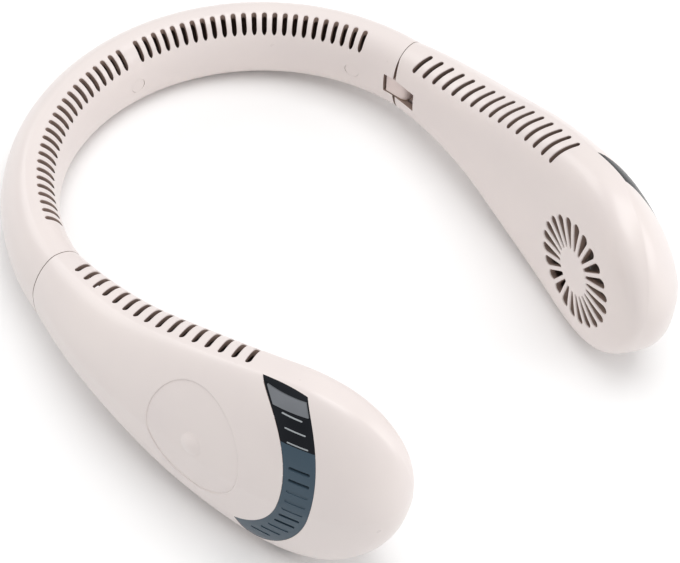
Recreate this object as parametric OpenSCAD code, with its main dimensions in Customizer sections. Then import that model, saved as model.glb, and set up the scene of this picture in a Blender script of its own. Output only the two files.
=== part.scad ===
// Hands-free neck fan: a C-shaped neck band, and an arm on each side that folds inward on an upright hinge pin.
// Each arm is an air duct that ends in a pod with a blower. Millimetres, +Z up, +Y towards the open front,
// origin on the floor under the middle of the band. "Right" is the +X side.
//
// The shells are drawn in the neck plane, where the band is level, and stance() then tips them until the band
// and both pods rest on the floor. Places along an arm are measured from its seam with the band, along the
// duct's centre line; u is the distance outward from that line and w the height above the band's centre.

/* [Neck band] */
// Radius of the band's centre line
band_r = 80.3; // [76:0.1:85]
// Half of the angle that the band covers, centre line to seam
band_half_angle = 82.6; // [78:0.1:86]
// Thickness of the band, inner side to outer side
band_t = 20; // [19:0.1:22]
// Height of the band
band_h = 29.7; // [28:0.1:33]
// Shell thickness of band and arms
wall = 2.2; // [1.8:0.1:2.4]

/* [Band air slots] */
// Air slots on each half of the band
band_slots = 24; // [16:1:24]
// Distance between neighbouring band slots on the centre line
band_slot_pitch = 4.07; // [3.9:0.01:4.15]
// Length of a band slot, seen from above
band_slot_len = 5.6; // [4:0.1:6]
// Width of every air slot
slot_w = 1.8; // [1.2:0.1:2.1]

/* [Arm and pod] */
// Length of an arm along its centre line, from the seam to the tip
arm_len = 147.5; // [144:0.5:155]
// Radius of the arm's centre line
arm_r = 229; // [200:1:300]
// Outward half thickness at a quarter, a half, three quarters and the end of the arm
arm_out = [14.4, 17.1, 19.1, 17.8]; // [10:0.1:25]
// Inward half thickness at the same places
arm_in = [13.7, 15.2, 14.2, 11.1]; // [10:0.1:20]
// Height of the upper edge over the band's centre at the same places
arm_top = [20.5, 32.1, 40.9, 45.2]; // [15:0.1:50]
// Depth of the lower edge under the band's centre at the same places
arm_bottom = [17.2, 27, 32.5, 32.7]; // [15:0.1:40]
// Share of the arm after which the pod's height rounds off
pod_round_from = 0.69; // [0.6:0.01:0.75]
// Share of the arm after which the pod's thickness rounds off
pod_thin_from = 0.81; // [0.75:0.01:0.85]

/* [Arm air slots] */
// Air slots on each arm
arm_slots = 16; // [10:1:16]
// Place of the first arm slot
arm_slot_first = 9.4; // [8:0.1:14]
// Distance between neighbouring arm slots
arm_slot_pitch = 5.3; // [5:0.1:5.4]
// Length of the first arm slot
arm_slot_len = 9; // [6:0.1:10]
// Length that the slots gain from the first to the last
arm_slot_gain = 2.8; // [0:0.1:4]
// Slant of the arm slots against the duct
arm_slot_slant = 18; // [0:1:25]

/* [Blower] */
// Distance of the fan's axis from the arm's tip
fan_from_tip = 31; // [30:0.5:34]
// Height of the fan's axis over the band's centre
fan_w = 4; // [2:0.5:6]
// Radius of the intake grille
grille_r = 20; // [16:0.5:21]
// Radius of the plain disc in the grille's middle
grille_hub_r = 8.6; // [7:0.1:10]
// Number of radial intake slots
grille_slots = 22; // [16:1:24]
// Radius of the impeller
impeller_r = 16.5; // [14:0.1:17]
// Width of the impeller's blades along its axis
blade_w = 7.6; // [6:0.1:8]
// Number of impeller blades
blades = 21; // [11:2:25]
// Radius of the impeller's hub
rotor_r = 8.2; // [7.6:0.1:9]
// Radius of the motor shaft
shaft_r = 0.75; // [0.6:0.05:1]

/* [Hinge] */
// Largest inward fold of each arm
fold_max = 15; // [10:1:15]
// Radius of the hinge pin
pin_r = 1.1; // [0.9:0.05:1.3]
// Radius of the band's hinge eyes
eye_r = 2.9; // [2.6:0.05:3]
// Height of the window that the band's eye sits in
window_h = 8; // [7:0.1:9]
// Length of that window along the arm
window_len = 10.8; // [8:0.1:12]

/* [Outer face] */
// Distance from the arm's tip to the point that the outer face's pieces are set out from
face_from_tip = 65.2; // [63:0.1:67]
// Place of the dish cap's centre from that point, along the arm and up
dish_centre = [-1, 8]; // [-5:0.1:10]
// Radius of the dish cap
dish_r = 18.6; // [16:0.1:19]
// Depth of the dish cap under the surface
dish_depth = 0.4; // [0.2:0.05:0.6]
// Radius of the small dome in the dish's middle
dome_r = 3; // [2:0.1:4]
// Place of the trim strip's centre from the same point
strip_centre = [4.2, 11]; // [3:0.1:12]
// Inner radius of the trim strip
strip_in_r = 29; // [28:0.1:30]
// Outer radius of the trim strip
strip_out_r = 39.1; // [38:0.1:40]
// Thickness of the trim strip
strip_t = 1.1; // [0.8:0.05:1.2]
// Height over the band's centre at which the gloss window ends and the vented strip begins
window_low = 26.5; // [25:0.1:26.8]
// Angle of the vented strip's lower end under the horizontal
strip_end = 66; // [55:1:68]
// Number of vents in the strip
vents = 10; // [8:1:10]
// Distance between neighbouring vents
vent_pitch = 3.9; // [3.4:0.1:4]
// Distance between neighbouring light bars
bar_pitch = 3.5; // [3:0.1:3.6]
// Height over the band's centre of the power key's lower edge
key_low = 34.8; // [34.6:0.1:35.2]
// Travel of the power key
key_travel = 0.6; // [0.3:0.05:0.8]

/* [Electrics] */
// Length of the lithium cell
cell_len = 38; // [30:1:40]
// Height of the cell
cell_h = 20; // [14:0.5:21]
// Thickness of the cell
cell_t = 8.5; // [6:0.1:9]
// Thickness of the circuit board
board_t = 1.2; // [0.8:0.1:1.6]

/* [Hidden] */

// Fits
seam_gap = 0.3;            // between band and arm, face to face
run = 0.03;                // radial clearance of a running fit
seat = 0.1;                // clearance of a piece that is set into another
key_gap = 0.3;             // round the power key

// Section exponents of the band and of a pod, for the upper inner, lower inner, upper outer and lower outer
// quarters: 2 is an ellipse, more is fuller, less is flatter
band_form = [2.4, 2.2, 1.7, 3];
pod_form = [3.3, 3.3, 1.45, 2.9];
form_blend = 60;           // length over which the arm passes from one to the other
pod_round = 2.1;           // roundness of the pod's tip in height
pod_thin = 2.3;            // and in thickness

ring_quarter = 7;          // steps on a quarter of the band's section
outside = [6, 10, 8];      // steps on a quarter of an arm's section, rings to the pod and rings round its tip
inside = [4, 6, 5];        // the same for the duct inside

band_a = band_t / 2;
band_w = band_h / 2;
fan_at = arm_len - fan_from_tip;
face_at = arm_len - face_from_tip;
foot_flat = 0.5;           // depth of the moulded flats that the fan stands on
pin_u = -(band_a - eye_r - 0.5);
pin_y = eye_r + 0.5 * seam_gap + 0.25;
arm_eye_r = pin_r + 1.1;   // radius of the arm's hinge eyes
eye_top = 7;               // height of the upper eye's end over the band's centre
washer_t = 0.3;
plate_t = 2.6;
pearl = [0.93, 0.87, 0.86];
slate = [0.3, 0.37, 0.42];

// ---------------------------------------------------------------- centre line

// Angle of the duct's centre line at distance x from the seam, against the +X axis
function arm_heading(x) = band_half_angle + x / arm_r * 180 / PI;
function seam_point() = [band_r * sin(band_half_angle), band_r * (1 - cos(band_half_angle))];
function arm_point(x) =
    let (a = arm_heading(x), p = seam_point(), a0 = band_half_angle)
    [p[0] + arm_r * (sin(a) - sin(a0)), p[1] + arm_r * (cos(a0) - cos(a))];

// Puts its children in the duct's own axes at distance x: X outward, Y along the duct, Z up
module on_arm(x, w = 0) {
    p = arm_point(x);
    translate([p[0], p[1], w]) rotate([0, 0, arm_heading(x) - 90]) children();
}

// The same on the band, at an angle from its middle
module on_band(angle, u = 0, w = 0) {
    translate([0, band_r, 0]) rotate([0, 0, angle - 90]) translate([band_r + u, 0, w]) children();
}

// ---------------------------------------------------------------- sections

function smooth(t) = let (q = min(max(t, 0), 1)) q * q * (3 - 2 * q);
function power(v, e) = pow(max(v, 0), e);

// A smooth curve through evenly spaced values
function through(v, t) =
    let (n = len(v) - 1, q = min(max(t, 0), 1) * n, i = min(floor(q), n - 1), f = q - i,
         b = v[i], c = v[i + 1],
         a = i > 0 ? v[i - 1] : 2 * b - c, d = i < n - 1 ? v[i + 2] : 2 * c - b)
    0.5 * (2 * b + (c - a) * f + (2 * a - 5 * b + 4 * c - d) * f * f + (3 * b - 3 * c + d - a) * f * f * f);

function rounded(x, length, from, p) =
    let (q = min(max((x / length - from) / (1 - from), 0), 1)) power(1 - pow(q, p), 1 / p);

// Section of an arm at x, set in by a distance: [inward, outward, middle height, half height, exponents]
function arm_section(x, inset = 0) =
    let (t = x / arm_len, length = arm_len - inset,
         top = through(concat([band_w], arm_top), t), low = -through(concat([band_w], arm_bottom), t),
         thin = rounded(x, length, pod_thin_from, pod_thin), high = rounded(x, length, pod_round_from, pod_round),
         k = smooth(x / form_blend))
    [(through(concat([band_a], arm_in), t) - inset) * thin,
     (through(concat([band_a], arm_out), t) - inset) * thin,
     (top + low) / 2,
     ((top - low) / 2 - inset) * high,
     [for (i = [0 : 3]) band_form[i] + (pod_form[i] - band_form[i]) * k]];

function band_section(inset = 0) = [band_a - inset, band_a - inset, 0, band_w - inset, band_form];

// A point of a section, at an angle from straight outward: [u, w]
function section_point(s, angle) =
    let (c = cos(angle), v = sin(angle), outward = c >= 0, up = v >= 0,
         e = s[4][(outward ? 2 : 0) + (up ? 0 : 1)])
    [(outward ? s[1] : -s[0]) * power(abs(c), 2 / e), s[2] + (up ? 1 : -1) * s[3] * power(abs(v), 2 / e)];

// Height of an arm's surface over the point u of its inner upper quarter, and its slope there
function crown_w(x, u) =
    let (s = arm_section(x), e = s[4][0]) s[2] + s[3] * power(1 - pow(-u / s[0], e), 1 / e);
function crown_tilt(x, u) = atan((crown_w(x, u + 0.5) - crown_w(x, u - 0.5)));

// Height of an arm's surface under the point u of its outer lower quarter
function under_w(x, u) = let (s = arm_section(x), e = s[4][3]) s[2] - s[3] * power(1 - pow(u / s[1], e), 1 / e);

function arc_angles(from, to, n) = [for (i = [0 : n]) from + (to - from) * i / n];
function section_arc(s, from, to, n) = [for (a = arc_angles(from, to, n)) section_point(s, a)];

// ---------------------------------------------------------------- lofts

// Where the rings of an arm lie between two places, the last one at most just short of the tip
tip_end = 88.4;
function arm_rings(inset, start, stop, mesh) =
    let (length = arm_len - inset,
         x = concat([for (i = [0 : mesh[1] - 1]) length * pod_round_from * i / mesh[1]],
                    [for (i = [0 : mesh[2]])
                        length * (pod_round_from + (1 - pod_round_from) * sin(tip_end * i / mesh[2]))]))
    concat([start], [for (v = x) if (v > start + 0.5 && v < stop - 0.5) v],
           stop > arm_len ? [x[len(x) - 1]] : [stop]);

// A closed body through rings of equally many points
module loft(rings) {
    n = len(rings[0]);
    m = len(rings);
    polyhedron(
        points = [for (r = rings, p = r) p],
        faces = concat(
            [[for (i = [n - 1 : -1 : 0]) i]],
            [for (j = [0 : m - 2], i = [0 : n - 1], k = [0, 1])
                let (a = j * n + i, b = j * n + (i + 1) % n)
                k == 0 ? [a, b, b + n] : [a, b + n, a + n]],
            [[for (i = [0 : n - 1]) (m - 1) * n + i]]),
        convexity = 8);
}

function arm_ring(x, inset, from, to, n) =
    let (s = arm_section(x, inset), p = arm_point(x), a = arm_heading(x))
    [for (q = section_arc(s, from, to, n)) [p[0] + q[0] * sin(a), p[1] - q[0] * cos(a), q[1]]];

// The arm's body set in by a distance: its outward half (side 1), its inward half (side -1) or both, whole or
// between two places
beyond = 1000;
module arm_half(side, inset = 0, start = 0, stop = beyond, mesh = outside) {
    from = side < 0 ? 90 : -90;
    loft([for (x = arm_rings(inset, start, stop, mesh)) arm_ring(x, inset, from, from + 180, 2 * mesh[0])]);
}
module arm_body(inset = 0, start = 0, stop = beyond, mesh = outside) {
    loft([for (x = arm_rings(inset, start, stop, mesh))
        let (ring = arm_ring(x, inset, -90, 270, 4 * mesh[0])) [for (i = [0 : len(ring) - 2]) ring[i]]]);
}

// ---------------------------------------------------------------- stance

// Tip of the neck plane at which the band and the pods touch the floor together
tilt = max([for (x = [60 : 2 : arm_len - 20])
    let (s = arm_section(x)) atan2(s[3] - s[2] - band_w, arm_point(x)[1])]);
lift = band_w * cos(tilt) - foot_flat;

module stance() {
    translate([0, 0, lift]) rotate([tilt, 0, 0]) children();
}
module mirrored(side) {
    if (side < 0) mirror([1, 0, 0]) children();
    else children();
}
module floor_block() {
    translate([-200, -100, -20]) cube([400, 500, 20]);
}

// ---------------------------------------------------------------- neck band

band_wall_arc = 2 * ring_quarter;
slot_u = -0.61 * band_a;
slot_floor = 2;            // height over the band's centre down to which a band slot is cut

// A slot's outline: a bar with round ends, along X
module slot_outline(length, width) {
    square([length - width, width], center = true);
    for (side = [-1, 1]) translate([side * (length - width) / 2, 0]) circle(d = width, $fn = 16);
}

// Half of the band's shell as a section, inward (side -1) or outward (side 1), around the origin
module band_half_section(side) {
    from = side < 0 ? 90 : -90;
    polygon(concat(
        section_arc(band_section(), from, from + 180, band_wall_arc),
        section_arc(band_section(wall), from + 180, from, band_wall_arc)));
}
module band_sweep() {
    half = band_half_angle - seam_gap / 2 / band_r * 180 / PI;
    translate([0, band_r, 0]) rotate([0, 0, -90 - half])
        rotate_extrude(angle = 2 * half, $fn = 180) translate([band_r, 0]) children();
}

plug_angles = [-68, 0, 68];
plug_r = 2.8;
plug_t = 1.2;
plug_w = -1;
plug_floor = -band_a + 0.1 + plug_t + 0.1;
boss_r = 3;
screw_r = 1.1;
head_r = 2.1;
head_t = 1.6;
screw_len = 11;
head_floor = plug_floor + head_t + 0.1;
clamp_t = 2;               // plastic under a screw's head

// What the screws of the band need in the inner shell: a plug's seat, a head's pocket and a hole
module band_screw_holes() {
    for (a = plug_angles) on_band(a, 0, plug_w) rotate([0, 90, 0]) {
        translate([0, 0, -band_a - 1]) cylinder(r = plug_r + seat, h = plug_floor + band_a + 1, $fn = 48);
        translate([0, 0, plug_floor - 0.5]) cylinder(r = head_r + seat, h = head_floor - plug_floor + 0.5, $fn = 48);
        translate([0, 0, plug_floor - 0.5]) cylinder(r = screw_r + seat, h = 8, $fn = 32);
    }
}
module band_outer_shell() {
    color(pearl) difference() {
        stance() {
            band_sweep() band_half_section(1);
            for (a = plug_angles) difference() {
                on_band(a, head_floor + clamp_t + 0.05, plug_w) rotate([0, 90, 0])
                    cylinder(r = boss_r, h = band_a - wall + 0.2 - head_floor - clamp_t, $fn = 32);
                on_band(a, head_floor, plug_w) rotate([0, 90, 0]) cylinder(r = screw_r, h = screw_len - 0.5, $fn = 32);
            }
        }
        floor_block();
    }
}
module band_inner_shell() {
    color(pearl) difference() {
        stance() difference() {
            union() {
                band_sweep() band_half_section(-1);
                for (a = plug_angles) on_band(a, -band_a + 1, plug_w) rotate([0, 90, 0])
                    cylinder(r = boss_r + 1, h = head_floor + clamp_t + band_a - 1, $fn = 32);
            }
            for (side = [-1, 1], i = [1 : band_slots])
                on_band(side * i * band_slot_pitch / band_r * 180 / PI, slot_u, slot_floor)
                    linear_extrude(band_w) slot_outline(band_slot_len, slot_w);
            band_screw_holes();
            for (side = [-1, 1]) mirrored(side) on_arm(0) tongue_notch();
        }
        floor_block();
    }
}
module band_plugs() {
    color(pearl) stance()
        for (a = plug_angles) on_band(a, -band_a + 0.1, plug_w) rotate([0, 90, 0])
            cylinder(r = plug_r, h = plug_t, $fn = 48);
}
// A screw along +Z whose head's outer face is at 0
module screw(length) {
    cylinder(r = screw_r - 0.05, h = length, $fn = 32);
    difference() {
        cylinder(r = head_r, h = head_t, $fn = 32);
        translate([0, 0, -0.1]) cylinder(r = 1, h = 0.9, $fn = 6);
    }
}
module band_screws() {
    color("silver") stance()
        for (a = plug_angles) on_band(a, head_floor - head_t, plug_w) rotate([0, 90, 0]) screw(screw_len);
}
loom_r = 1.3;
module band_wire_loom() {
    color([0.1, 0.1, 0.1]) stance() translate([0, band_r, 0])
        rotate([0, 0, -90 - band_half_angle + 2.5]) rotate_extrude(angle = 2 * band_half_angle - 5, $fn = 96)
            translate([band_r + 2, -band_w + wall + loom_r + 0.25]) circle(r = loom_r, $fn = 24);
}

// ---------------------------------------------------------------- hinges

plate_back = -seam_gap / 2 - plate_t - 0.6;   // where the band's hinge plate begins
plate_front = seam_gap / 2 + 1.2;             // and the arm's
tongue_h = window_h - 2 * washer_t - 0.1;
pocket_t = 1.2;

module tongue_notch() {
    translate([-band_a - 2, plate_back - 1, -window_h / 2]) cube([band_a + 2 + pin_u + eye_r + 0.3, plate_t + 6, window_h]);
}
// A plate that closes the duct's end, clear of the shell, with a hole for the air
module end_plate(y0, clearance = seat) {
    difference() {
        translate([0, y0 + plate_t, 0]) rotate([90, 0, 0]) linear_extrude(plate_t)
            polygon(section_arc(band_section(wall + clearance), 0, 360 - 360 / 28, 27));
        for (w = [-7, 7]) translate([2, 0, w]) rotate([90, 0, 0]) cylinder(r = 3.4, h = 40, center = true, $fn = 48);
    }
}
module band_hinge(side) {
    color([0.8, 0.75, 0.74]) stance() mirrored(side) on_arm(0) difference() {
        union() {
            end_plate(plate_back);
            translate([pin_u - eye_r, plate_back, -tongue_h / 2]) cube([2 * eye_r, pin_y - plate_back, tongue_h]);
            translate([pin_u, pin_y, -tongue_h / 2]) cylinder(r = eye_r, h = tongue_h, $fn = 48);
        }
        translate([pin_u, pin_y, -window_h]) cylinder(r = pin_r, h = 2 * window_h, $fn = 48);
    }
}
module hinge_pin(side) {
    color("silver") stance() mirrored(side) on_arm(0) translate([pin_u, pin_y, -eye_top])
        cylinder(r = pin_r, h = 2 * eye_top, $fn = 48);
}
module hinge_washers() {
    color("goldenrod") stance() for (side = [-1, 1], up = [-1, 1]) mirrored(side) on_arm(0)
        translate([pin_u, pin_y, up * (window_h / 2 - washer_t / 2)]) difference() {
            cylinder(r = eye_r - 0.1, h = washer_t - 0.04, center = true, $fn = 48);
            cylinder(r = pin_r + run, h = 1, center = true, $fn = 48);
        }
}
// The arm's end plate with the pocket behind the hinge's window and the two eyes
module arm_hinge(side) {
    color([0.8, 0.75, 0.74]) stance() mirrored(side) on_arm(0) difference() {
        union() {
            end_plate(plate_front, 0.25);
            translate([pin_u - 0.7, plate_front, -window_h / 2 - pocket_t])
                cube([eye_r + 1 + pocket_t, window_len + pocket_t - plate_front, window_h + 2 * pocket_t]);
            for (up = [-1, 1]) translate([pin_u, pin_y, up * (window_h / 2 + eye_top) / 2])
                cylinder(r = arm_eye_r, h = eye_top - window_h / 2, center = true, $fn = 48);
        }
        translate([-band_a - 2, -2, -window_h / 2]) cube([band_a + 2 + pin_u + eye_r + 0.3, window_len + 2, window_h]);
        translate([pin_u, pin_y, -eye_top - 1]) cylinder(r = pin_r + run, h = 2 * eye_top + 2, $fn = 48);
    }
}

// ---------------------------------------------------------------- places on the arm's faces

// Axes on the fan's axis: X along the arm, Y up and Z outward
module on_fan(u = 0) {
    on_arm(fan_at, fan_w) rotate([90, 0, 90]) translate([0, 0, u]) children();
}
// The same on the outer face, at a centre given from the face's own point
module on_face(centre = [0, 0], u = 0) {
    on_arm(face_at) rotate([90, 0, 90]) translate([centre[0], centre[1], u]) children();
}
face_from = face_at - 32;  // part of the arm that the outer face's pieces lie on
face_to = face_at + 50;
strip_from = face_at + 6;  // and that the strip lies on
strip_to = face_at + 45;

// Outward distance of the arm's surface, set in by a distance, at a place of the outer face
function face_u(place, inset) =
    let (s = arm_section(face_at + place[0], inset), w = place[1] - s[2], e = s[4][w > 0 ? 2 : 3])
    s[1] * power(1 - pow(abs(w) / s[3], e), 1 / e) - place[0] * place[0] / 2 / arm_r;

// A skin of the outward half between two depths under its surface and two places along the arm
module outer_skin(depth, t, from, to) {
    difference() {
        arm_half(1, depth, from, to);
        arm_half(1, depth + t, from - 5, to + 5);
    }
}
module sector(r0, r1, a0, a1, steps = 12) {
    polygon(concat([for (a = arc_angles(a0, a1, steps)) r0 * [cos(a), sin(a)]],
                   [for (a = arc_angles(a1, a0, steps)) r1 * [cos(a), sin(a)]]));
}
// The strip's outline from its lower end up past the crest, widened by a distance
module strip_outline(grow = 0) {
    sector(strip_in_r - grow, strip_out_r + grow, -strip_end - (grow > 0 ? 0.2 : 0), 88);
}
module above(w) {
    translate([-100, w - strip_centre[1]]) square([200, 100]);
}
key_slope = 6;
key_w = 2.6;               // height of the key's face, seen from the side
module key_outline(grow = 0) {
    intersection() {
        sector(strip_in_r + 0.6 - grow, strip_out_r - 0.6 + grow, 20, 80);
        translate([25, key_low - strip_centre[1] - grow]) rotate(key_slope / 2)
            translate([-30, 0]) square([60, key_w + 2 * grow]);
    }
}
mid_r = (strip_in_r + strip_out_r) / 2;
vent_top = window_low - 6.7;
vent_w = 1.1;
vent_len = strip_out_r - strip_in_r - 3.1;
vent_groove = 0.45;        // depth of the vents that are moulded shut
bar_low = window_low + 0.6;
bar_w = 0.5;
// A level bar across the strip, at a height over the band's centre
module level_bar(w, length, width, depth = 40) {
    v = w - strip_centre[1];
    translate([sqrt(mid_r * mid_r - v * v), v, 0]) linear_extrude(depth) slot_outline(length, width);
}
function vent_height(i) = vent_top - i * vent_pitch;
function vent_is_open(i) = i < 2 || i == 5 || i == 6;
module vent_bars(open, width = vent_w) {
    for (i = [0 : vents - 1]) if (vent_is_open(i) == open) level_bar(vent_height(i), vent_len, width);
}
module light_bar_cuts(width) {
    for (i = [0 : 1]) level_bar(bar_low + i * bar_pitch, vent_len, width);
    level_bar(key_low - key_gap - 0.7, vent_len, width);
}

// ---------------------------------------------------------------- arm shells

// Wedge of the seam, inward of the pin, that lets the arm fold
module fold_relief() {
    reach = band_a + 6 + pin_u;
    translate([0, 0, -60]) linear_extrude(120)
        polygon([[pin_u, -3], [pin_u, seam_gap / 2], [pin_u - reach, seam_gap / 2 + reach * tan(fold_max + 2)],
                 [pin_u - reach, -3]]);
}
module duct_space() {
    arm_body(wall, 0, beyond, inside);
}
// A slot with ends of few sides, along X
module arm_slot(i) {
    k = i / (arm_slots - 1);
    x = arm_slot_first + i * arm_slot_pitch;
    u = -(5.5 + 2.2 * k);
    length = arm_slot_len + arm_slot_gain * k;
    on_arm(x, crown_w(x, u)) translate([u, 0, 0]) rotate([0, -crown_tilt(x, u), 0])
        rotate([0, 0, arm_slot_slant * (1 - k / 2)]) hull() for (end = [-1, 1])
            translate([end * (length - slot_w) / 2, 0, -4]) rotate(30) cylinder(d = slot_w, h = 9, $fn = 6);
}
grille_in = 1.1;           // width of a grille slot at its inner end
grille_out = 3.6;          // and at its outer end
module grille_slot(a) {
    on_fan(-18) rotate(a) hull() {
        translate([grille_hub_r + grille_in / 2, 0, 0]) rotate(45) cylinder(d = grille_in, h = 12, $fn = 4);
        translate([grille_r - grille_out / 2, 0, 0]) cylinder(d = grille_out, h = 12, $fn = 8);
    }
}
cover_screw_ring = 11.5;
cover_boss_angles = [45, 165, 285];
function cover_screw_place(a) = dish_centre + cover_screw_ring * [cos(a), sin(a)];
// Outward distance of the seat of a cover screw's head, under the dish cap
function head_seat(a) = face_u(cover_screw_place(a), dish_depth + strip_t) - head_t - 0.9;
cover_screw_len = 9;
switch_place = [26.5, key_low + 0.9];
cell_at = (face_at - 1) / 2;   // place of the cell's middle along the arm
cell_u = 0.5;
cell_w = 0;
cradle_t = 1.2;            // thickness of the ribs that hold the cell
volute_lugs = [60, 150, 270];
lug_ring = 22.6;
lug_r = 2.2;

module inner_shell(side) {
    color(pearl) difference() {
        stance() mirrored(side) difference() {
            union() {
                difference() {
                    arm_half(-1, 0, seam_gap / 2);
                    duct_space();
                }
                intersection() {
                    arm_body(wall / 2, 5, beyond, inside);
                    union() {
                        for (a = cover_boss_angles) on_face(cover_screw_place(a), -20)
                            cylinder(r = boss_r, h = 20 + head_seat(a) - clamp_t, $fn = 16);
                        if (side > 0) on_face(switch_place - [0, 1.2], -20)
                            cylinder(r = 1.7, h = 20 + switch_u, $fn = 12);
                        for (end = [-1, 1]) on_arm(cell_at + end * (cell_len / 2 - 5), cell_w)
                            translate([-30, -cradle_t / 2, -8]) cube([30 + cell_u - cell_t / 2 - seat, cradle_t, 16]);
                        for (a = volute_lugs) on_fan(-20) rotate(a) translate([lug_ring, 0, 0])
                            cylinder(r = lug_r, h = 20 + impeller_u - 0.1, $fn = 12);
                    }
                }
            }
            for (i = [0 : arm_slots - 1]) arm_slot(i);
            for (i = [0 : grille_slots - 1]) grille_slot(360 * i / grille_slots);
            for (a = cover_boss_angles) on_face(cover_screw_place(a), head_seat(a) - cover_screw_len)
                cylinder(r = screw_r, h = cover_screw_len, $fn = 12);
            on_arm(0) {
                fold_relief();
                translate([-band_a - 8, -1, -window_h / 2])
                    cube([band_a + 8 + pin_u + eye_r + 0.3, window_len + 1, window_h]);
                translate([pin_u - 0.8, plate_front - 0.1, -window_h / 2 - pocket_t - 0.1])
                    cube([8, window_len, window_h + 2 * pocket_t + 0.2]);
                translate([pin_u, pin_y, -eye_top - 0.1]) cylinder(r = arm_eye_r + 0.15, h = 2 * eye_top + 0.2, $fn = 24);
            }
        }
        floor_block();
    }
}
module outer_cover(side) {
    color(pearl) difference() {
        stance() mirrored(side) difference() {
            union() {
                difference() {
                    arm_half(1, 0, seam_gap / 2);
                    duct_space();
                }
                intersection() {
                    arm_body(wall / 2, 5, beyond, inside);
                    for (a = cover_boss_angles) on_face(cover_screw_place(a), head_seat(a) - clamp_t + 0.05)
                        cylinder(r = boss_r + 0.4, h = 20, $fn = 16);
                }
            }
            difference() {
                union() {
                    on_face(dish_centre) cylinder(r = dish_r + seat, h = 40, $fn = 48);
                    on_face(strip_centre) linear_extrude(40) strip_outline(seat);
                }
                arm_body(strip_t + dish_depth, face_from, face_to);
            }
            on_face(strip_centre) vent_bars(true);
            for (a = cover_boss_angles) on_face(cover_screw_place(a)) {
                translate([0, 0, head_seat(a)]) cylinder(r = head_r + seat, h = 20, $fn = 16);
                cylinder(r = screw_r + seat, h = 40, $fn = 12);
            }
            if (side > 0) {
                on_face(strip_centre, -3) linear_extrude(40) key_outline(key_gap);
                on_fan(socket_u) translate([socket_y, -60, 0]) rotate([-90, 0, 0])
                    linear_extrude(45) slot_outline(socket_w + 0.6, socket_t + 0.6);
            }
        }
        floor_block();
    }
}
module dish_cap(side) {
    reach = dish_r + 1;
    color(pearl) stance() mirrored(side) {
        intersection() {
            on_face(dish_centre) cylinder(r = dish_r, h = 40, $fn = 48);
            outer_skin(dish_depth, strip_t - 0.15, face_at + dish_centre[0] - reach, face_at + dish_centre[0] + reach);
        }
        on_face(dish_centre, face_u(dish_centre, dish_depth) - 0.5) scale([1, 1, 0.4]) intersection() {
            sphere(r = dome_r, $fn = 24);
            cylinder(r = dome_r, h = dome_r);
        }
    }
}
module display_window(side) {
    color([0.1, 0.1, 0.12]) stance() mirrored(side) difference() {
        intersection() {
            on_face(strip_centre) linear_extrude(40) intersection() {
                strip_outline();
                above(window_low + 0.1);
            }
            outer_skin(0.05, strip_t, strip_from, strip_to);
        }
        if (side > 0) on_face(strip_centre) {
            linear_extrude(40) key_outline(key_gap);
            light_bar_cuts(bar_w + 0.04);
        }
    }
}
module vented_strip(side) {
    color(slate) stance() mirrored(side) difference() {
        intersection() {
            on_face(strip_centre) linear_extrude(40) difference() {
                strip_outline();
                above(window_low);
            }
            outer_skin(0.05, strip_t, strip_from, strip_to);
        }
        on_face(strip_centre) vent_bars(true);
        difference() {
            on_face(strip_centre) vent_bars(false);
            arm_half(1, vent_groove, strip_from, strip_to);
        }
    }
}
module light_bars() {
    color([0.95, 0.95, 0.9]) stance() intersection() {
        on_face(strip_centre) light_bar_cuts(bar_w);
        outer_skin(0.05, strip_t, strip_from, strip_to);
    }
}
key_depth = 1.2;           // how far the key reaches under the strip
module power_key() {
    color([0.35, 0.36, 0.38]) stance() {
        intersection() {
            on_face(strip_centre) linear_extrude(40) key_outline();
            outer_skin(0.05, strip_t + key_depth, strip_from, strip_to);
        }
        on_face(switch_place, switch_top + key_travel + 0.1)
            cylinder(r = 0.8, h = face_u(switch_place, strip_t) - switch_top - key_travel - 0.1, $fn = 24);
    }
}

// ---------------------------------------------------------------- blower

// Along the fan's axis, from the grille outwards
impeller_u = -7.6;
back_t = 1;
hub_t = 1;
volute_u = impeller_u + blade_w + back_t + 0.9;
volute_t = 1.6;
volute_r = impeller_r + 2.1;
volute_wall = 1.2;
ring_t = 1.2;
stator_h = 4.4;
stator_r = rotor_r - hub_t - ring_t - 0.5;
tube_r = 2.6;
bearing_r = 1.9;
bearing_h = 1.8;
board_post = 2;            // height of the board's posts on the volute

module impeller(side) {
    lean = 38;
    color([0.2, 0.2, 0.21]) stance() mirrored(side) on_fan(impeller_u) {
        difference() {
            cylinder(r = rotor_r, h = blade_w + back_t, $fn = 64);
            translate([0, 0, hub_t]) cylinder(r = rotor_r - hub_t, h = blade_w + back_t, $fn = 64);
            translate([0, 0, -1]) cylinder(r = shaft_r, h = 4, $fn = 32);
        }
        difference() {
            translate([0, 0, blade_w]) cylinder(r = impeller_r, h = back_t, $fn = 64);
            translate([0, 0, blade_w - 1]) cylinder(r = rotor_r - hub_t / 2, h = back_t + 2, $fn = 64);
        }
        linear_extrude(blade_w + 0.5) for (i = [0 : blades - 1]) rotate(360 * i / blades)
            translate([rotor_r - 0.4, 0]) rotate(lean) translate([0, -0.4])
                square([(impeller_r - rotor_r) / cos(lean) * 0.92, 0.8]);
    }
}
module rotor_ring(side) {
    color([0.5, 0.5, 0.52]) stance() mirrored(side) on_fan(impeller_u + hub_t) difference() {
        cylinder(r = rotor_r - hub_t, h = blade_w - 0.4, $fn = 64);
        translate([0, 0, -1]) cylinder(r = rotor_r - hub_t - ring_t, h = blade_w + 2, $fn = 64);
    }
}
module motor_shaft(side) {
    color("silver") stance() mirrored(side) on_fan(impeller_u) cylinder(r = shaft_r, h = volute_u - impeller_u, $fn = 32);
}
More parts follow.
